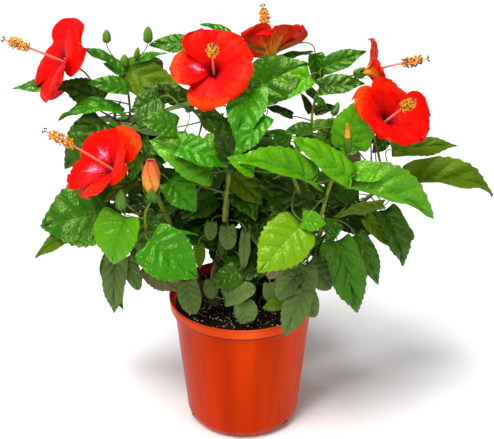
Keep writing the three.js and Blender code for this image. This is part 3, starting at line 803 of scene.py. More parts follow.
def add_furled(piece, base, tip, radius, rng):
    """A bloom that is still rolled up, its petals wound round each other."""
    base, tip = np.asarray(base, float), np.asarray(tip, float)
    length = np.linalg.norm(tip - base)
    axes = turned_frame(tip - base, 20)
    shares = np.linspace(FURLED_SHARES[0], 1, 22)
    outline = np.stack([np.interp(shares, FURLED_SHARES, FURLED_RADII) * radius, shares * length], axis=1)
    mouth = np.array([(0.40 * radius, 0.985 * length), (0.26 * radius, 0.93 * length), (0.02, 0.84 * length)])
    outline = np.concatenate([outline, mouth])

    def wound(angle, height):
        turn = angle + FURLED_TWIST * height / length
        ridge = (PETALS * turn / TURN) % 1
        return 1 + 0.13 * (ridge - 0.5) * np.clip(height / length * 3, 0, 1)

    slots = np.zeros((len(outline) - 1, FURLED_SIDES), int)
    for row in range(len(outline) - 1):
        height = outline[row, 1] / length
        for side in range(FURLED_SIDES):
            ridge = (PETALS * (side / FURLED_SIDES + FURLED_TWIST * height / TURN)) % 1
            ruddy = height + 0.55 * (ridge < 0.18) + rng.uniform(-0.16, 0.16)
            slots[row, side] = FURLED_RED if ruddy > 0.92 else FURLED_ORANGE if ruddy > 0.62 else FURLED_GOLD
    slots[1 - len(mouth):] = FURLED_MOUTH
    add_lathe(piece, base, axes, outline, wound, slots, FURLED_SIDES)
    add_calyx(piece, base + axes[2] * FURLED_CALYX_RISE, axes, FURLED_CALYX_SIZE)


# ------------------------------------------------------------------ growing the shrub

bark = Gathered()
green = Gathered()
leaves_front = Gathered()
leaves_rest = Gathered()
petals = Gathered()
stamens = Gathered()


def bark_relief(steps, sides, rng):
    """Ridges that run along a limb, with a swelling at every few steps where leaves have been."""
    ridge = np.array([1 + 0.05 * rng.uniform(-1, 1) for _ in range(sides)])[None, :]
    rough = np.array([[1 + 0.05 * rng.uniform(-1, 1) for _ in range(sides)] for _ in range(steps)])
    scar = SWELLING_EVERY // 2
    node = np.array([1.16 if step % SWELLING_EVERY == scar else 1.0 for step in range(steps)])[:, None]
    return ridge * rough * node


def smooth_curve(points, steps):
    """A curve that passes through every point."""
    points = np.asarray(points, float)
    padded = np.concatenate([[2 * points[0] - points[1]], points, [2 * points[-1] - points[-2]]])
    path = []
    spans = len(points) - 1
    for step in range(steps):
        place = step / (steps - 1) * spans
        k = min(int(place), spans - 1)
        t = place - k
        a, b, c, d = padded[k:k + 4]
        path.append(0.5 * (2 * b + (c - a) * t + (2 * a - 5 * b + 4 * c - d) * t ** 2
                           + (3 * b - a - 3 * c + d) * t ** 3))
    return np.array(path)


def grow_limb(path, radii, sides, slot, rng, bare_steps=0):
    """A limb in bark, from which leaves can hang past its bare steps."""
    add_tube(bark, path, radii, sides, slot, bark_relief(len(path), sides, rng))
    remember(path[bare_steps:])


def grow_stem(foot, fork, foot_radius, fork_radius, flare, rng):
    """A stem from below the soil's surface to its fork, flared at its foot."""
    x, y = foot
    first = (x, y, SOIL_TOP - 4)
    rise = SOIL_TOP + (fork[2] - SOIL_TOP) / 3
    second = (x + (fork[0] - x) * 0.2, y + (fork[1] - y) * 0.2, rise)
    path = smooth_curve([first, second, fork], STEM_STEPS)
    flaring = np.exp(-np.clip(path[:, 2] - SOIL_TOP, 0, None) / FLARE_HEIGHT)
    radii = tapered(foot_radius, fork_radius, STEM_STEPS) + flare * flaring
    grow_limb(path, radii, STEM_SIDES, OLD_WOOD, rng, STEM_BARE_STEPS)


for stem_sizes in STEMS.values():
    grow_stem(*stem_sizes, chance)

for stem, end, bow in BOUGHS:
    fork = np.array(STEMS[stem][1], float)
    middle = (fork + np.array(end)) / 2 + np.array([0, 0, bow])
    path = smooth_curve([fork, middle, end], BOUGH_STEPS)
    grow_limb(path, tapered(BOUGH_RADIUS, BOUGH_TIP_RADIUS, BOUGH_STEPS), BOUGH_SIDES, YOUNG_WOOD, chance)

for first_radius, last_radius, slot, places in SHOOTS:
    path = smooth_curve(places, SHOOT_STEPS)
    grow_limb(path, tapered(first_radius, last_radius, SHOOT_STEPS), SHOOT_SIDES, slot, chance)

LONGEST_PETIOLE = 78


def grow_petiole(base, heading, rng, thick=1.15):
    """A stalk from the nearest limb to a leaf's joint, by way of a twig if that is far off."""
    base = np.asarray(base, float)
    heading = unit(heading)
    foot = nearest_limb(base, heading)
    distance = np.linalg.norm(base - foot)
    if distance > LONGEST_PETIOLE:
        spur = foot + (base - foot) * 0.55 + np.array([0, 0, 6])
        middle = (foot + spur) / 2 + np.array([rng.uniform(-6, 6), rng.uniform(-6, 6), 8])
        path = bent(foot, middle, spur, 10)
        add_tube(green, path, tapered(2.0, 1.4, 10), 6, TWIG)
        remember(path)
        foot = spur
        distance = np.linalg.norm(base - foot)
    through = base - heading * 0.4 * distance + np.array([0, 0, 0.12 * distance])
    path = bent(foot, through, base, 9)
    add_tube(green, path, tapered(thick, 0.75 * thick, 9), 6, PETIOLE)


for base, tip, width, tilt, fold, droop, tint in FRONT_LEAVES:
    shape = leaf_mesh(
        FINE_LEAF, base, tip, width, facing_from_tilt(base, tip, tilt), tint, chance,
        fold=math.radians(fold), droop=math.radians(droop), curl=chance.uniform(-0.12, 0.12),
        twist=chance.uniform(-0.15, 0.15), lobe=chance.uniform(0.12, 0.2), wave=chance.uniform(0.012, 0.028))
    leaves_front.add(*shape)
    grow_petiole(base, np.subtract(tip, base), chance)


def grow_bloom(throat, way, column_length, sizes, rng):
    """An open bloom: petals, column, calyx and the stalk to the nearest limb."""
    throat = np.asarray(throat, float)
    axes = turned_frame(way, 0)
    length = np.mean([size[2] for size in sizes])
    add_petals(petals, throat, axes, sizes, rng)
    add_column(stamens, throat, axes, column_length, rng)
    calyx = throat - axes[2] * 0.20 * length
    add_calyx(green, calyx, axes, 0.34 * length)
    foot = calyx - axes[2] * 0.25 * length
    limb = nearest_limb(foot, axes[2] * 1.5)
    path = bent(limb, foot - axes[2] * 0.5 * np.linalg.norm(foot - limb), foot + axes[2] * 4, 10)
    add_tube(green, path, tapered(1.2, 1.5, 10), 7, PETIOLE)


for bloom in FRONT_BLOOMS + BACK_BLOOMS:
    grow_bloom(*bloom, chance)

for base, tip, radius, kind in BUDS:
    add_bud(green, base, tip, radius, kind, chance)
    grow_petiole(base, np.subtract(tip, base), chance, thick=0.9)

add_furled(green, FURLED_BASE, FURLED_TIP, FURLED_RADIUS, chance)

# ------------------------------------------------------------------ leaves of the masses

mass_nodes = [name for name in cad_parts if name.startswith("foliage_")]


class Heart:
    """The space among the stems, where leaves grow on short spurs."""

    name = "heart"
    centre = np.array([4.0, 10.0, 372.0])
    half = np.array([112.0, 78.0, 92.0])

    def holds(self, place, margin):
        return float((((place - self.centre) / (self.half + margin)) ** 2).sum()) < 1


class Mass:
    """One of the part's masses of foliage: its box, and a test of what lies inside it."""

    def __init__(self, name):
        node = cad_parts[name]
        points = np.array([vertex.co for vertex in node.data.vertices]) / MM
        self.name = name
        self.low, self.high = points.min(axis=0), points.max(axis=0)
        self.centre = (self.low + self.high) / 2
        self.half = (self.high - self.low) / 2
        faces = [tuple(polygon.vertices) for polygon in node.data.polygons]
        self.tree = BVHTree.FromPolygons(points.tolist(), faces)

    def holds(self, place, margin):
        if (place < self.low - margin).any() or (place > self.high + margin).any():
            return False
        near, normal, _, distance = self.tree.find_nearest(Vector(place))
        return distance < margin or (Vector(place) - near).dot(normal) < 0


masses = [Mass(name) for name in sorted(mass_nodes)] + [Heart()]
INSIDE_MARGIN = 7.0


def inside_crown(place):
    return any(mass.holds(place, INSIDE_MARGIN) for mass in masses)


def in_open_place(place):
    """True where a thing would close one of the gaps that the front view shows."""
    share = -CAMERA_PLACE[1] / (place[1] - CAMERA_PLACE[1])
    crossing = CAMERA_PLACE + (place - CAMERA_PLACE) * share
    return any((crossing[0] - x) ** 2 + (crossing[2] - z) ** 2 < radius ** 2 for x, z, radius in OPEN_PLACES)


def covers_front(place):
    """True if one of the leaves or blooms that the front view shows lies behind the place."""
    way = Vector(unit(place - CAMERA_PLACE))
    return any(tree.ray_cast(Vector(place), way, 700.0)[0] is not None for tree in shown_trees)


shown_trees = [leaves_front.tree(), petals.tree(), stamens.tree()]
leaf_trees = shown_trees[:2]
# Leaves of the masses that the light from above can't reach take the darker tints: painted shade.
LIT_LEAF_TINTS = ("bright", "mid", "mid", "fresh", "dark")
PAINTED_SHADE_TINTS = ("dark", "deep", "mid", "dark", "deep", "old")
UP = np.array([0.0, 0.0, 1.0])
LEAF_BULGE = 11.0  # how far a leaf's arch lifts it off the plane between its joint and its tip
# shares of a leaf's length and of half its width, for places where it is tested
BLADE_SAMPLES = ((0, 0), (1, 0), (0.35, 1), (0.35, -1), (0.35, 0), (0.7, 0), (0.7, 0.6), (0.7, -0.6))
EDGE_SAMPLES = ((0.15, 0.8), (0.15, -0.8), (0.5, 0.9), (0.5, -0.9))


def in_light(place, way):
    """True if nothing of the crown stands between the place and the light from that way."""
    start = Vector(place + 5 * way)
    return all(tree.ray_cast(start, Vector(way), 900.0)[0] is None for tree in leaf_trees)


# Darker tints for a leaf in the crown's shade, lighter ones where light from above reaches it: painted shade.
def painted_shade_tints_at(place):
    return LIT_LEAF_TINTS if in_light(place, UP) else PAINTED_SHADE_TINTS


def fits_crown(base, tip, facing, width):
    """True if a leaf would stay inside the crown and clear of what the front view shows."""
    along = tip - base
    side = unit(np.cross(facing, along)) * width / 2
    samples = [base + share * along + aside * side for share, aside in BLADE_SAMPLES]
    if sum(inside_crown(sample) for sample in samples) < len(samples) - 1 or not inside_crown(tip):
        return False
    samples += [base + share * along + aside * side for share, aside in EDGE_SAMPLES]
    samples += [sample + LEAF_BULGE * unit(facing) for sample in samples]
    return not any(in_open_place(sample) or covers_front(sample) for sample in samples)


def grow_leaf(base, tip, facing, tints, rng):
    """Adds a leaf of the masses and says True, or says False where it doesn't fit."""
    width = np.linalg.norm(tip - base) * rng.uniform(0.66, 0.82)
    if not fits_crown(base, tip, facing, width):
        return False
    shape = leaf_mesh(
        PLAIN_LEAF, base, tip, width, facing, rng.choice(tints), rng, fold=rng.uniform(0.08, 0.45),
        droop=rng.uniform(0.3, 0.9), curl=rng.uniform(-0.2, 0.2), twist=rng.uniform(-0.3, 0.3),
        lobe=rng.uniform(0.1, 0.2), wave=rng.uniform(0.012, 0.035))
    leaves_rest.add(*shape)
    leaf_trees.append(BVHTree.FromPolygons(shape[0].tolist(), shape[1].tolist()))
    return True


TWIG_STEPS = 12
TWIG_LEAF_TRIES = 5


def grow_twig(start, end, rng):
    """A twig with a leaf at every few steps, each turned on from the last by the golden angle."""
    start, end = np.asarray(start, float), np.asarray(end, float)
    distance = np.linalg.norm(end - start)
    drift = np.array([rng.uniform(-0.12, 0.12), rng.uniform(-0.12, 0.12), 0.1]) * distance
    path = bent(start, (start + end) / 2 + drift, end, TWIG_STEPS)
    turn = rng.uniform(0, TURN)
    grown = False
    heading, across, other = axes_along(path)
    for step in range(3, TWIG_STEPS, 2):
        turn += GOLDEN_ANGLE
        for _ in range(TWIG_LEAF_TRIES):
            way = around(across[step], other[step], turn) + heading[step] * 0.7
            way = unit(way + np.array([0, 0, 0.25]))
            length = rng.uniform(50, 86)
            base = path[step] + way * rng.uniform(0.25, 0.5) * length
            fall = np.array([0, 0, rng.uniform(0.05, 0.55)])
            tip = base + unit(way * np.array([1, 1, 0.25]) - fall) * length
            facing = unit(0.35 * way + np.array([rng.uniform(-0.35, 0.35), rng.uniform(-0.35, 0.35), 1.0]))
            if grow_leaf(base, tip, facing, painted_shade_tints_at(base), rng):
                stalk = bent(path[step], base - 8 * unit(tip - base), base, 7)
                add_tube(green, stalk, tapered(1.1, 0.8, 7), 5, PETIOLE)
                grown = True
                break
            turn += rng.uniform(0.3, 1.2)
    if grown:
        add_tube(green, path, tapered(1.9, 1.0, TWIG_STEPS), 6, TWIG)
        remember(path)


leafy_masses = [mass for mass in masses if not mass.name.endswith("_bloom")]
TWIG_SPACE = 260000  # cubic millimetres of a mass's box for each of its twigs
for mass in leafy_masses:
    for number in range(max(1, round(np.prod(2 * mass.half) / TWIG_SPACE))):
        aim = mass.centre + mass.half * np.array([chance.uniform(-0.62, 0.62) for _ in range(3)])
        grow_twig(nearest_limb(mass.centre), aim, chance)

# Leaves turn to whatever light still comes through, until the crown is closed from every side.
LIGHT_TRIES = 9000
LIGHT_LEAVES = 420
FRONT_SHARE = 0.4
LIGHT_WAYS = [unit(way) for way in (
    (-0.75, -0.5, 0.4), (0.75, -0.5, 0.4), (-0.9, 0.15, 0.4), (0.9, 0.15, 0.4), (-0.6, 0.75, 0.35),
    (0.6, 0.75, 0.35), (0.0, 0.95, 0.3), (0.0, 0.0, 1.0), (0.0, 0.3, 1.0))]
sizes_of_masses = [float(np.prod(mass.half)) ** 0.8 for mass in leafy_masses]
light_leaves = 0
for _ in range(LIGHT_TRIES):
    mass = chance.choices(leafy_masses, sizes_of_masses)[0]
    place = mass.centre + mass.half * np.array([chance.uniform(-0.95, 0.95) for _ in range(3)])
    seen_in_front = chance.random() < FRONT_SHARE
    way = unit(CAMERA_PLACE - place) if seen_in_front else chance.choice(LIGHT_WAYS)
    if not mass.holds(place, 0.0) or not in_light(place, way):
        continue
    limb = nearest_limb(place)
    spread = np.array([chance.uniform(-0.6, 0.6), chance.uniform(-0.6, 0.6), chance.uniform(-0.8, 0.1)])
    along = unit(unit(place - limb) * np.array([1, 1, 0.4]) + spread)
    length = chance.uniform(48, 86)
    facing = unit(0.6 * way + np.array([chance.uniform(-0.3, 0.3), chance.uniform(-0.3, 0.3), 0.55]))
    base = place - 0.45 * length * along
    if grow_leaf(base, base + along * length, facing, painted_shade_tints_at(place), chance):
        grow_petiole(base, along, chance, thick=1.0)
        light_leaves += 1
        if light_leaves >= LIGHT_LEAVES:
            break

# ------------------------------------------------------------------ pot

POT_SIDES = 240
pot = Gathered()


def corner_outline(inset, steps):
    centre = WALL_FOOT_RADIUS - CORNER_RADIUS
    reach = CORNER_RADIUS - inset
    angles = np.linspace(0, math.pi / 2, steps)
    return [(centre + reach * math.sin(angle), CORNER_RADIUS - reach * math.cos(angle)) for angle in angles]


def ring_wall(outline, slot_for_row, dents):
    """Turns an outline of (radius, height) about the pot's axis. dents gives what to add to the radius."""
    outline = np.asarray(outline, float)
    angle = np.arange(POT_SIDES) * TURN / POT_SIDES
    height = outline[:, 1:2] * np.ones(POT_SIDES)
    radius = outline[:, 0:1] + dents(angle[None, :], height)
    points = np.stack([radius * np.cos(angle), radius * np.sin(angle), height], axis=-1)
    faces = grid_faces(len(outline), POT_SIDES, closed=True)[:, ::-1]
    return points.reshape(-1, 3), faces, np.repeat(np.asarray(slot_for_row), POT_SIDES)


def drain_axis(heading):
    """Middle and direction of a drain hole, as they pass through the rounded corner."""
    angle = math.radians(heading)
    slope = math.radians(DRAIN_SLOPE)
    middle = WALL_FOOT_RADIUS - CORNER_RADIUS + CORNER_RADIUS * math.cos(slope)
    height = CORNER_RADIUS * (1 - math.sin(slope))
    out = np.array([math.sin(angle), -math.cos(angle), 0])
    way = unit(out * math.cos(slope) - np.array([0, 0, math.sin(slope)]))
    return out * middle + np.array([0, 0, height]), way


PANEL_EDGES = (-39, 33)  # degrees round from the front, where the mould's front panel ends


def faceting(angle, height):
    """Panels that the mould leaves down the wall, each one a little step back from the next."""
    heading = (np.degrees(angle) + 90 + 180) % 360 - 180
    first, last = PANEL_EDGES
    step = smooth(first - 0.9, first + 0.9, heading) - smooth(last - 0.9, last + 0.9, heading)
    wall = smooth(24, 40, height) * (1 - smooth(197, 200, height))
    return wall * (0.6 * step - 0.25)


COLLAR_FOOT = POT_HEIGHT - COLLAR_DEPTH
AXIS_GAP = 0.5  # radius of the outline's ends, next to the pot's axis
# Slots of the pot: its plastic; painted shade in the groove under the collar and inside the drain holes; the
# collar, lighter with painted light.
PLASTIC, PAINTED_SHADE, PAINTED_LIGHT_COLLAR = range(3)


def by(radius, height, *offsets):
    """Points of an outline, given by how far they are out and up from a corner of the pot."""
    return [(radius + out, height + up) for out, up in offsets]


def straight(first, last, shares):
    """Points of an outline between two of its corners, at shares of the way."""
    return [(first[0] + (last[0] - first[0]) * share, first[1] + (last[1] - first[1]) * share)
            for share in shares]


outer_wall = (
    [(AXIS_GAP, 0.0), (30, 0.0), (WALL_FOOT_RADIUS - CORNER_RADIUS, 0.0)]
    + corner_outline(0, 14)[1:]
    + straight((WALL_FOOT_RADIUS, CORNER_RADIUS), (WALL_TOP_RADIUS, COLLAR_FOOT),
               np.linspace(0.04, 0.975, 22))
    + by(WALL_TOP_RADIUS, COLLAR_FOOT,
         (0.2, -3.6), (2.4, -2.6), (2.8, -1.8), (2.7, -0.9), (1.0, -0.6), (1.0, 0.1))
    + by(COLLAR_FOOT_RADIUS, COLLAR_FOOT, (-0.6, 0.2), (0, 0.9))
    + straight((COLLAR_FOOT_RADIUS, COLLAR_FOOT), (LIP_RADIUS, POT_HEIGHT), np.linspace(0.12, 0.76, 6))
    + by(LIP_RADIUS, POT_HEIGHT,
         (-0.2, -3.4), (-1.2, -3.1), (-1.2, -2.6), (0, -2.3), (0, -1.1), (-0.3, -0.4), (-0.9, 0))
)
inner_wall = (
    by(LIP_RADIUS, POT_HEIGHT, (-1.8, 0), (-2.3, -0.4), (-2.6, -1.5))
    + by(COLLAR_FOOT_RADIUS - WALL_THICKNESS, COLLAR_FOOT + WALL_THICKNESS, (0, 1), (-1, 0))
    + by(WALL_TOP_RADIUS - WALL_THICKNESS, COLLAR_FOOT + WALL_THICKNESS, (0, -1))
    + straight((WALL_FOOT_RADIUS - WALL_THICKNESS, CORNER_RADIUS),
               (WALL_TOP_RADIUS - WALL_THICKNESS, COLLAR_FOOT), np.linspace(0.95, 0.0, 6))
    + corner_outline(WALL_THICKNESS, 8)[::-1][1:]
    + [(AXIS_GAP, WALL_THICKNESS)]
)


def pot_slot(radius, height):
    """The outer wall has a dark groove of painted shade under the collar, and the collar itself is paler with
    painted light.
    """
    if abs(height - COLLAR_FOOT) < 1 and radius > WALL_TOP_RADIUS + 0.9:
        return PAINTED_SHADE
    return PAINTED_LIGHT_COLLAR if height > COLLAR_FOOT else PLASTIC


DRAIN_SIDES = 28
DRAIN_WALL = (0.6, -3.4)  # ends of a drain hole's own wall, outward along its axis
DRAIN_REACH = 14  # along its axis, how far the pot's faces belong to a drain hole
DRAIN_PULL = 0.38  # share of its radius within which the pot's points move on to its edge


def add_pot():
    """The pot's shell. Faces inside a drain hole are left out, and each hole gets its own short wall."""
    outline = outer_wall + inner_wall
    rows = [pot_slot(radius, height) for radius, height in outer_wall]
    rows += [PLASTIC] * (len(inner_wall) - 1)
    points, faces, slots = ring_wall(outline, rows, faceting)
    middles = points[faces].mean(axis=1)
    keep = np.ones(len(faces), bool)
    moved = points.copy()
    for heading in DRAIN_HEADINGS:
        middle, way = drain_axis(heading)
        offset = middles - middle
        away = np.linalg.norm(offset - np.outer(offset @ way, way), axis=1)
        near = np.abs(offset @ way) < DRAIN_REACH
        keep &= ~(near & (away < DRAIN_RADIUS))
        offset = points - middle
        depth = offset @ way
        flat = offset - np.outer(depth, way)
        away = np.linalg.norm(flat, axis=1)
        ring = (np.abs(depth) < DRAIN_REACH) & (np.abs(away / DRAIN_RADIUS - 1) < DRAIN_PULL)
        moved[ring] = middle + np.outer(depth[ring], way) + flat[ring] / away[ring][:, None] * DRAIN_RADIUS
    pot.add(moved, faces[keep], slots[keep])
    for heading in DRAIN_HEADINGS:
        middle, way = drain_axis(heading)
        across = unit(np.cross(way, (0, 0, 1)))
        other = np.cross(way, across)
        angle = np.arange(DRAIN_SIDES) * TURN / DRAIN_SIDES
        ring = across * np.cos(angle)[:, None] + other * np.sin(angle)[:, None]
        tube = [middle + way * depth + ring * DRAIN_RADIUS for depth in DRAIN_WALL]
        # A drain hole's own wall is dark with painted shade.
        pot.add(np.concatenate(tube), grid_faces(2, DRAIN_SIDES, closed=True), PAINTED_SHADE)


add_pot()

# ------------------------------------------------------------------ soil

soil = Gathered()
grit = Gathered()
PERLITE, STRAW, CRUMB = range(3)
SOIL_RINGS, SOIL_SIDES = 60, 150
SOIL_SKIRT_FOOT = 40.0  # height that the soil's side reaches down to, out of sight inside the pot
GRAINS = 2100
GRAIN_REACH = 105


def lumps(x, y):
    """Height of the soil's crumbs over its level."""
    height = np.zeros_like(x)
    roller = random.Random(SEED + 1)
    for number in range(26):
        size = 0.05 * 1.16 ** number
        angle = roller.uniform(0, TURN)
        start = roller.uniform(0, TURN)
        height += (0.9 / 1.09 ** number) * np.sin(size * (x * math.cos(angle) + y * math.sin(angle)) + start)
    return height


def soil_height(x, y, distance):
    """Height of the soil, which is lumpy and rises a little towards the wall."""
    return SOIL_TOP - 1.0 + 0.55 * lumps(x, y) + 1.2 * smooth(80, 106, distance)


def add_soil():
    radius = np.linspace(AXIS_GAP, WALL_TOP_RADIUS - WALL_THICKNESS - 1.2, SOIL_RINGS)[:, None]
    angle = (np.arange(SOIL_SIDES) * TURN / SOIL_SIDES)[None, :]
    x, y = radius * np.cos(angle), radius * np.sin(angle)
    top = np.stack([x, y, soil_height(x, y, radius)], axis=-1)
    widening = (WALL_TOP_RADIUS - WALL_FOOT_RADIUS) * SOIL_SKIRT_FOOT / SOIL_TOP
    share = (WALL_FOOT_RADIUS + widening - WALL_THICKNESS - 2) / radius[-1, 0]
    skirt = np.stack([x[-1] * share, y[-1] * share, np.full(SOIL_SIDES, SOIL_SKIRT_FOOT)], axis=-1)[None]
    points = np.concatenate([top, skirt])
    soil.add(points.reshape(-1, 3), grid_faces(SOIL_RINGS + 1, SOIL_SIDES, closed=True), 0)


def add_grains(roller):
    """Perlite, bits of straw and crumbs of soil, strewn over the soil's surface."""
    for _ in range(GRAINS):
        distance = GRAIN_REACH * math.sqrt(roller.random())
        turn = roller.uniform(0, TURN)
        x, y = distance * math.cos(turn), distance * math.sin(turn)
        height = float(soil_height(np.array(x), np.array(y), distance))
        kind = roller.random()
        if kind < 0.24:
            size = roller.uniform(0.6, 1.7)
            add_ball(grit, (x, y, height + 0.3), size, PERLITE, [roller.uniform(0.7, 1.3) for _ in range(3)])
        elif kind < 0.27:
            way = roller.uniform(0, TURN)
            step = np.array([math.cos(way), math.sin(way), 0]) * roller.uniform(5, 15) / 2
            middle = np.array([x, y, height + 1.6]) * np.array([0.9, 0.9, 1])
            path = np.stack([middle - step, middle + [0, 0, 0.8], middle + step])
            add_tube(grit, path, (0.45, 0.6, 0.35), 5, STRAW)
        else:
            size = roller.uniform(1.0, 2.8)
            add_ball(grit, (x, y, height), size, CRUMB, [roller.uniform(0.6, 1.4) for _ in range(3)])


add_soil()
add_grains(random.Random(SEED + 2))

# ------------------------------------------------------------------ materials


def linear(red, green_share, blue):
    """A colour given as it looks on screen, 0 to 255, as the linear shares that shading works in."""
    return tuple(
        share / 12.92 if share <= 0.04045 else ((share + 0.055) / 1.055) ** 2.4
        for share in (red / 255, green_share / 255, blue / 255)
    )


def add_node(tree, kind, vector=None, **values):
    """A new node with its inputs set. An input's name has _ for each space."""
    node = tree.nodes.new(kind)
    if vector is not None:
        tree.links.new(vector, node.inputs["Vector"])
    for name, value in values.items():
        node.inputs[name.replace("_", " ")].default_value = value
    return node


def mottled(tree, place, scale, darker, lighter, stretch=(1, 1, 1)):
    """A colour that wanders between two, drawn out along an axis by the stretch."""
    drawn_out = add_node(tree, "ShaderNodeMapping", place, Scale=stretch)
    blotch = add_node(tree, "ShaderNodeTexNoise", drawn_out.outputs["Vector"], Scale=scale, Detail=6)
    ramp = add_node(tree, "ShaderNodeValToRGB")
    for element, position, colour in zip(ramp.color_ramp.elements, (0.35, 0.65), (darker, lighter)):
        element.position = position
        element.color = (*colour, 1)
    tree.links.new(blotch.outputs["Fac"], ramp.inputs["Fac"])
    return ramp.outputs["Color"]


def new_material(name, colour, roughness, spread, bumps, specular=0.5, specular_tint=(1, 1, 1),
                 mottle=None, roughness_scale=60.0):
    """A surface with its own grain. bumps has (kind, scale, strength, depth in metres) for each layer,
    and mottle has what mottled() takes, where the colour wanders."""
    made = bpy.data.materials.new(name)
    made.use_nodes = True
    tree = made.node_tree
    shader = tree.nodes["Principled BSDF"]
    shader.inputs["Base Color"].default_value = (*colour, 1)
    shader.inputs["Specular IOR Level"].default_value = specular
    shader.inputs["Specular Tint"].default_value = (*specular_tint, 1)
    place = tree.nodes.new("ShaderNodeTexCoord").outputs["Object"]
    wander = add_node(tree, "ShaderNodeTexNoise", place, Scale=roughness_scale, Detail=3)
    limits = add_node(tree, "ShaderNodeMapRange", From_Min=0.3, From_Max=0.7,
                      To_Min=roughness - spread, To_Max=roughness + spread)
    tree.links.new(wander.outputs["Fac"], limits.inputs["Value"])
    tree.links.new(limits.outputs["Result"], shader.inputs["Roughness"])
    if mottle:
        tree.links.new(mottled(tree, place, *mottle), shader.inputs["Base Color"])
    previous = None
    for kind, scale, strength, depth in bumps:
        if kind == "cells":
            texture = add_node(tree, "ShaderNodeTexVoronoi", place, Scale=scale)
            texture.feature = "SMOOTH_F1"
            output = texture.outputs["Distance"]
        else:
            texture = add_node(tree, "ShaderNodeTexNoise", place, Scale=scale, Detail=4)
            output = texture.outputs["Fac"]
        bump = add_node(tree, "ShaderNodeBump", Strength=strength, Distance=depth)
        tree.links.new(output, bump.inputs["Height"])
        if previous is not None:
            tree.links.new(previous, bump.inputs["Normal"])
        previous = bump.outputs["Normal"]
    if previous is not None:
        tree.links.new(previous, shader.inputs["Normal"])
    return made


def grained(name, screen_colour, roughness, spread, scale, strength, depth, specular):
    """A surface of one colour, given as on screen, with one layer of fine grain."""
    bumps = (("noise", scale, strength, depth),)
    return new_material(name, linear(*screen_colour), roughness, spread, bumps, specular)


LEAF_COLOURS = {
    "bright": linear(42, 118, 2),
    "fresh": linear(76, 146, 2),
    "mid": linear(38, 94, 3),
    "dark": linear(38, 80, 5),
    # deep: a near-black green for leaves in the crown's deepest shade, painted shade
    "deep": linear(28, 50, 6),
    "old": linear(86, 108, 54),
    "olive": linear(76, 104, 4),
    "brown": linear(108, 104, 70),
    "lime": linear(106, 152, 3),
    # pale: a lighter green that stands for a glossy sheen, painted highlight
    "painted_sheen_green": linear(76, 140, 24),
}
LEAF_BUMPS = (("cells", 230.0, 0.6, 0.0016), ("noise", 60.0, 0.5, 0.005))
MATT_TINTS = ("old", "brown", "olive")
LEAF_GLOSS_TINT = (0.7, 1.0, 0.3)


def leaf_material(name, colour, matt):
    roughness, specular = (0.5, 0.25) if matt else (0.34, 0.5)
    return new_material("leaf_" + name, colour, roughness, 0.06, LEAF_BUMPS, specular, LEAF_GLOSS_TINT)


leaf_materials = [leaf_material(tint, LEAF_COLOURS[tint], tint in MATT_TINTS) for tint in LEAF_TINTS]
leaf_materials += [
    grained("leaf_vein", (54, 132, 6), 0.5, 0.06, 300.0, 0.3, 0.0005, specular=0.15),
    leaf_material("under", linear(98, 142, 12), True),
    leaf_material("under_dark", linear(84, 108, 22), True),
    grained("leaf_vein_dark", (50, 98, 12), 0.5, 0.06, 300.0, 0.3, 0.0005, specular=0.15),
]

PETAL_COLOURS = {
    "throat": linear(120, 0, 10),
    "wine": linear(158, 0, 12),
    "deep_red": linear(196, 4, 6),
    "red": linear(216, 5, 0),
    "warm_red": linear(226, 26, 0),
    "orange_red": linear(232, 54, 4),
    # The next three pink tints are a painted highlight, a glossy sheen near the throat of lit petals.
    "painted_sheen_soft": linear(224, 30, 50),
    "painted_sheen": linear(234, 80, 104),
    "painted_sheen_light": linear(246, 158, 172),
    "gold": linear(232, 156, 44),
    "amber": linear(230, 92, 18),
    "back_red": linear(232, 48, 12),
}
PETAL_BUMPS = (("noise", 260.0, 0.25, 0.001), ("noise", 40.0, 0.25, 0.004))
PETAL_GLOSS_TINT = (1.0, 0.5, 0.4)
petal_materials = [
    new_material("petal_" + tint, PETAL_COLOURS[tint], 0.5, 0.06, PETAL_BUMPS, 0.12, PETAL_GLOSS_TINT)
    for tint in PETAL_SLOTS
]

# name, colour as on screen, roughness and its spread, the grain's scale, strength and depth, specular
stamen_materials = [grained(*look) for look in (
    ("column", (226, 128, 104), 0.5, 0.05, 400.0, 0.2, 0.0004, 0.2),
    ("anther", (226, 160, 34), 0.7, 0.05, 900.0, 0.6, 0.0004, 0.2),
    ("anther_dark", (132, 66, 12), 0.7, 0.05, 900.0, 0.6, 0.0004, 0.2),
    ("stigma", (58, 16, 20), 0.6, 0.05, 900.0, 0.5, 0.0003, 0.2),
)]
green_materials = [grained(*look) for look in (
    ("calyx", (70, 112, 16), 0.5, 0.06, 300.0, 0.4, 0.0006, 0.25),
    ("bud", (82, 124, 22), 0.45, 0.06, 300.0, 0.4, 0.0006, 0.25),
    ("petiole", (96, 118, 44), 0.5, 0.06, 300.0, 0.4, 0.0005, 0.25),
    ("twig", (78, 92, 34), 0.6, 0.06, 240.0, 0.5, 0.0008, 0.25),
    ("furled_gold", (222, 152, 56), 0.5, 0.06, 200.0, 0.4, 0.0012, 0.2),
    ("furled_orange", (218, 112, 44), 0.5, 0.06, 200.0, 0.4, 0.0012, 0.2),
    ("furled_red", (206, 72, 56), 0.5, 0.06, 200.0, 0.4, 0.0012, 0.2),
    ("furled_mouth", (110, 10, 14), 0.6, 0.06, 200.0, 0.4, 0.0012, 0.2),
)]
grit_materials = [grained(*look) for look in (
    ("perlite", (206, 202, 192), 0.85, 0.05, 900.0, 0.6, 0.0006, 0.2),
    ("straw", (164, 142, 100), 0.8, 0.05, 700.0, 0.4, 0.0005, 0.2),
    ("crumb", (42, 30, 20), 0.92, 0.05, 700.0, 0.8, 0.001, 0.1),
)]

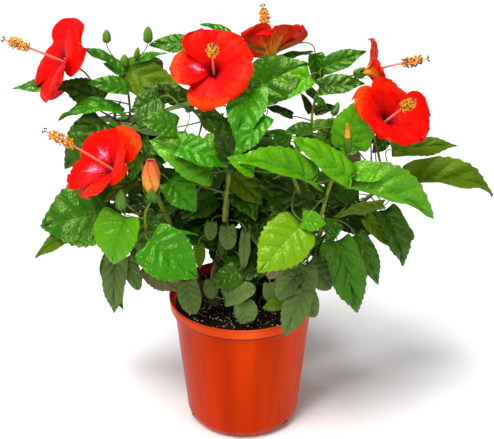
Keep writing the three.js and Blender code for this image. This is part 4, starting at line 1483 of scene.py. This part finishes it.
bark_materials = [
    new_material("bark_old", linear(104, 84, 54), 0.78, 0.08,
                 (("noise", 140.0, 0.7, 0.002), ("noise", 600.0, 0.5, 0.0008)), specular=0.2,
                 mottle=(90.0, linear(76, 58, 36), linear(128, 108, 72))),
    new_material("bark_young", linear(122, 140, 46), 0.6, 0.08,
                 (("noise", 180.0, 0.5, 0.0012), ("noise", 600.0, 0.4, 0.0006)), specular=0.25,
                 mottle=(60.0, linear(98, 104, 28), linear(128, 148, 36))),
]
soil_material = new_material(
    "soil", linear(30, 22, 16), 0.92, 0.05, (("noise", 220.0, 0.9, 0.003), ("noise", 900.0, 0.7, 0.0012)),
    specular=0.1, mottle=(160.0, linear(14, 11, 9), linear(50, 37, 26)))

PLASTIC_BUMPS = (("noise", 22.0, 0.05, 0.004), ("noise", 700.0, 0.04, 0.0003))
PLASTIC_GLOSS_TINT = (1.0, 0.35, 0.1)
REFLECTION_STREAK_STRETCH = (1.0, 1.0, 0.04)  # draws the mottling out into stripes down the wall, painted reflection streaks over the plastic's own mottled tone


def plastic(name, darker, lighter):
    # The vertical stripes of lighter and darker plastic are painted reflection streaks.
    return new_material(name, darker, 0.32, 0.04, PLASTIC_BUMPS, 0.07, PLASTIC_GLOSS_TINT,
                        mottle=(16.0, darker, lighter, REFLECTION_STREAK_STRETCH), roughness_scale=18.0)


pot_materials = [
    plastic("pot_plastic", linear(172, 38, 0), linear(206, 58, 2)),
    # the groove under the collar and the drain walls: painted shade
    grained("pot_painted_shade", (74, 18, 8), 0.6, 0.05, 300.0, 0.3, 0.0005, specular=0.1),
    # the collar is lighter than the wall: painted light
    plastic("pot_collar_painted_light", linear(204, 62, 18), linear(226, 82, 30)),
]

# ------------------------------------------------------------------ pieces

stem_nodes = [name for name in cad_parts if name.startswith(("stem_", "bough_"))]
leaves_front.build("leaves_front", leaf_materials, stands_for=mass_nodes)
leaves_rest.build("leaves_grown", leaf_materials)
petals.build("petals", petal_materials)
stamens.build("stamens", stamen_materials)
green.build("stalks_and_buds", green_materials)
bark.build("limbs", bark_materials, stands_for=stem_nodes)
pot.build("pot_shell", pot_materials, sharp_above=40, stands_for=["pot"])
soil.build("soil_surface", [soil_material], sharp_above=80, stands_for=["soil"])
grit.build("soil_grit", grit_materials)

# ------------------------------------------------------------------ studio, in metres

FLOOR_HALF = 14
floor_mesh = bpy.data.meshes.new("floor")
floor_corners = [(x * FLOOR_HALF, y * FLOOR_HALF, 0) for x, y in ((-1, -1), (1, -1), (1, 1), (-1, 1))]
floor_mesh.from_pydata(floor_corners, [], [(0, 1, 2, 3)])
floor_mesh.materials.append(new_material("floor_paper", (0.93, 0.93, 0.93), 0.9, 0.03, (), specular=0.1))
floor = bpy.data.objects.new("floor", floor_mesh)
bpy.context.scene.collection.objects.link(floor)

studio = bpy.data.worlds.new("studio")
studio.use_nodes = True
studio.node_tree.nodes["Background"].inputs["Color"].default_value = (1.0, 1.0, 1.0, 1)
studio.node_tree.nodes["Background"].inputs["Strength"].default_value = 0.25
bpy.context.scene.world = studio


def point_at(light, place, aim):
    light.location = place
    light.rotation_euler = (Vector(aim) - Vector(place)).to_track_quat("-Z", "Y").to_euler()
    bpy.context.scene.collection.objects.link(light)


def soft_light(name, place, aim, width, height, power):
    data = bpy.data.lights.new(name, "AREA")
    data.shape = "RECTANGLE"
    data.size, data.size_y = width, height
    data.energy = power
    point_at(bpy.data.objects.new(name, data), place, aim)


sky = bpy.data.lights.new("sky", "SUN")
sky.energy = 2.85
sky.angle = math.radians(28)
point_at(bpy.data.objects.new("sky", sky), (-0.7, -1.2, 2.9), (0, 0, 0.3))
soft_light("top", (-0.35, 0.1, 1.9), (0, 0, 0.45), 0.35, 0.35, 14)
soft_light("key", (-0.9, -1.5, 1.6), (0, 0, 0.45), 0.35, 0.35, 9)
soft_light("fill", (1.2, -1.4, 1.1), (0, 0, 0.3), 0.5, 1.0, 6)

camera_data = bpy.data.cameras.new("camera")
camera_data.lens = CAMERA_LENS
camera_data.sensor_width = 36
camera_data.clip_start, camera_data.clip_end = 0.05, 60
camera = bpy.data.objects.new("camera", camera_data)
camera.location = Vector((CAMERA_PLACE * MM).tolist())
camera.rotation_euler = (math.pi / 2 - CAMERA_ELEVATION, 0, 0)
bpy.context.scene.collection.objects.link(camera)
bpy.context.scene.camera = camera

bpy.context.scene.view_settings.view_transform = "Standard"
bpy.context.scene.cycles.max_bounces = 8
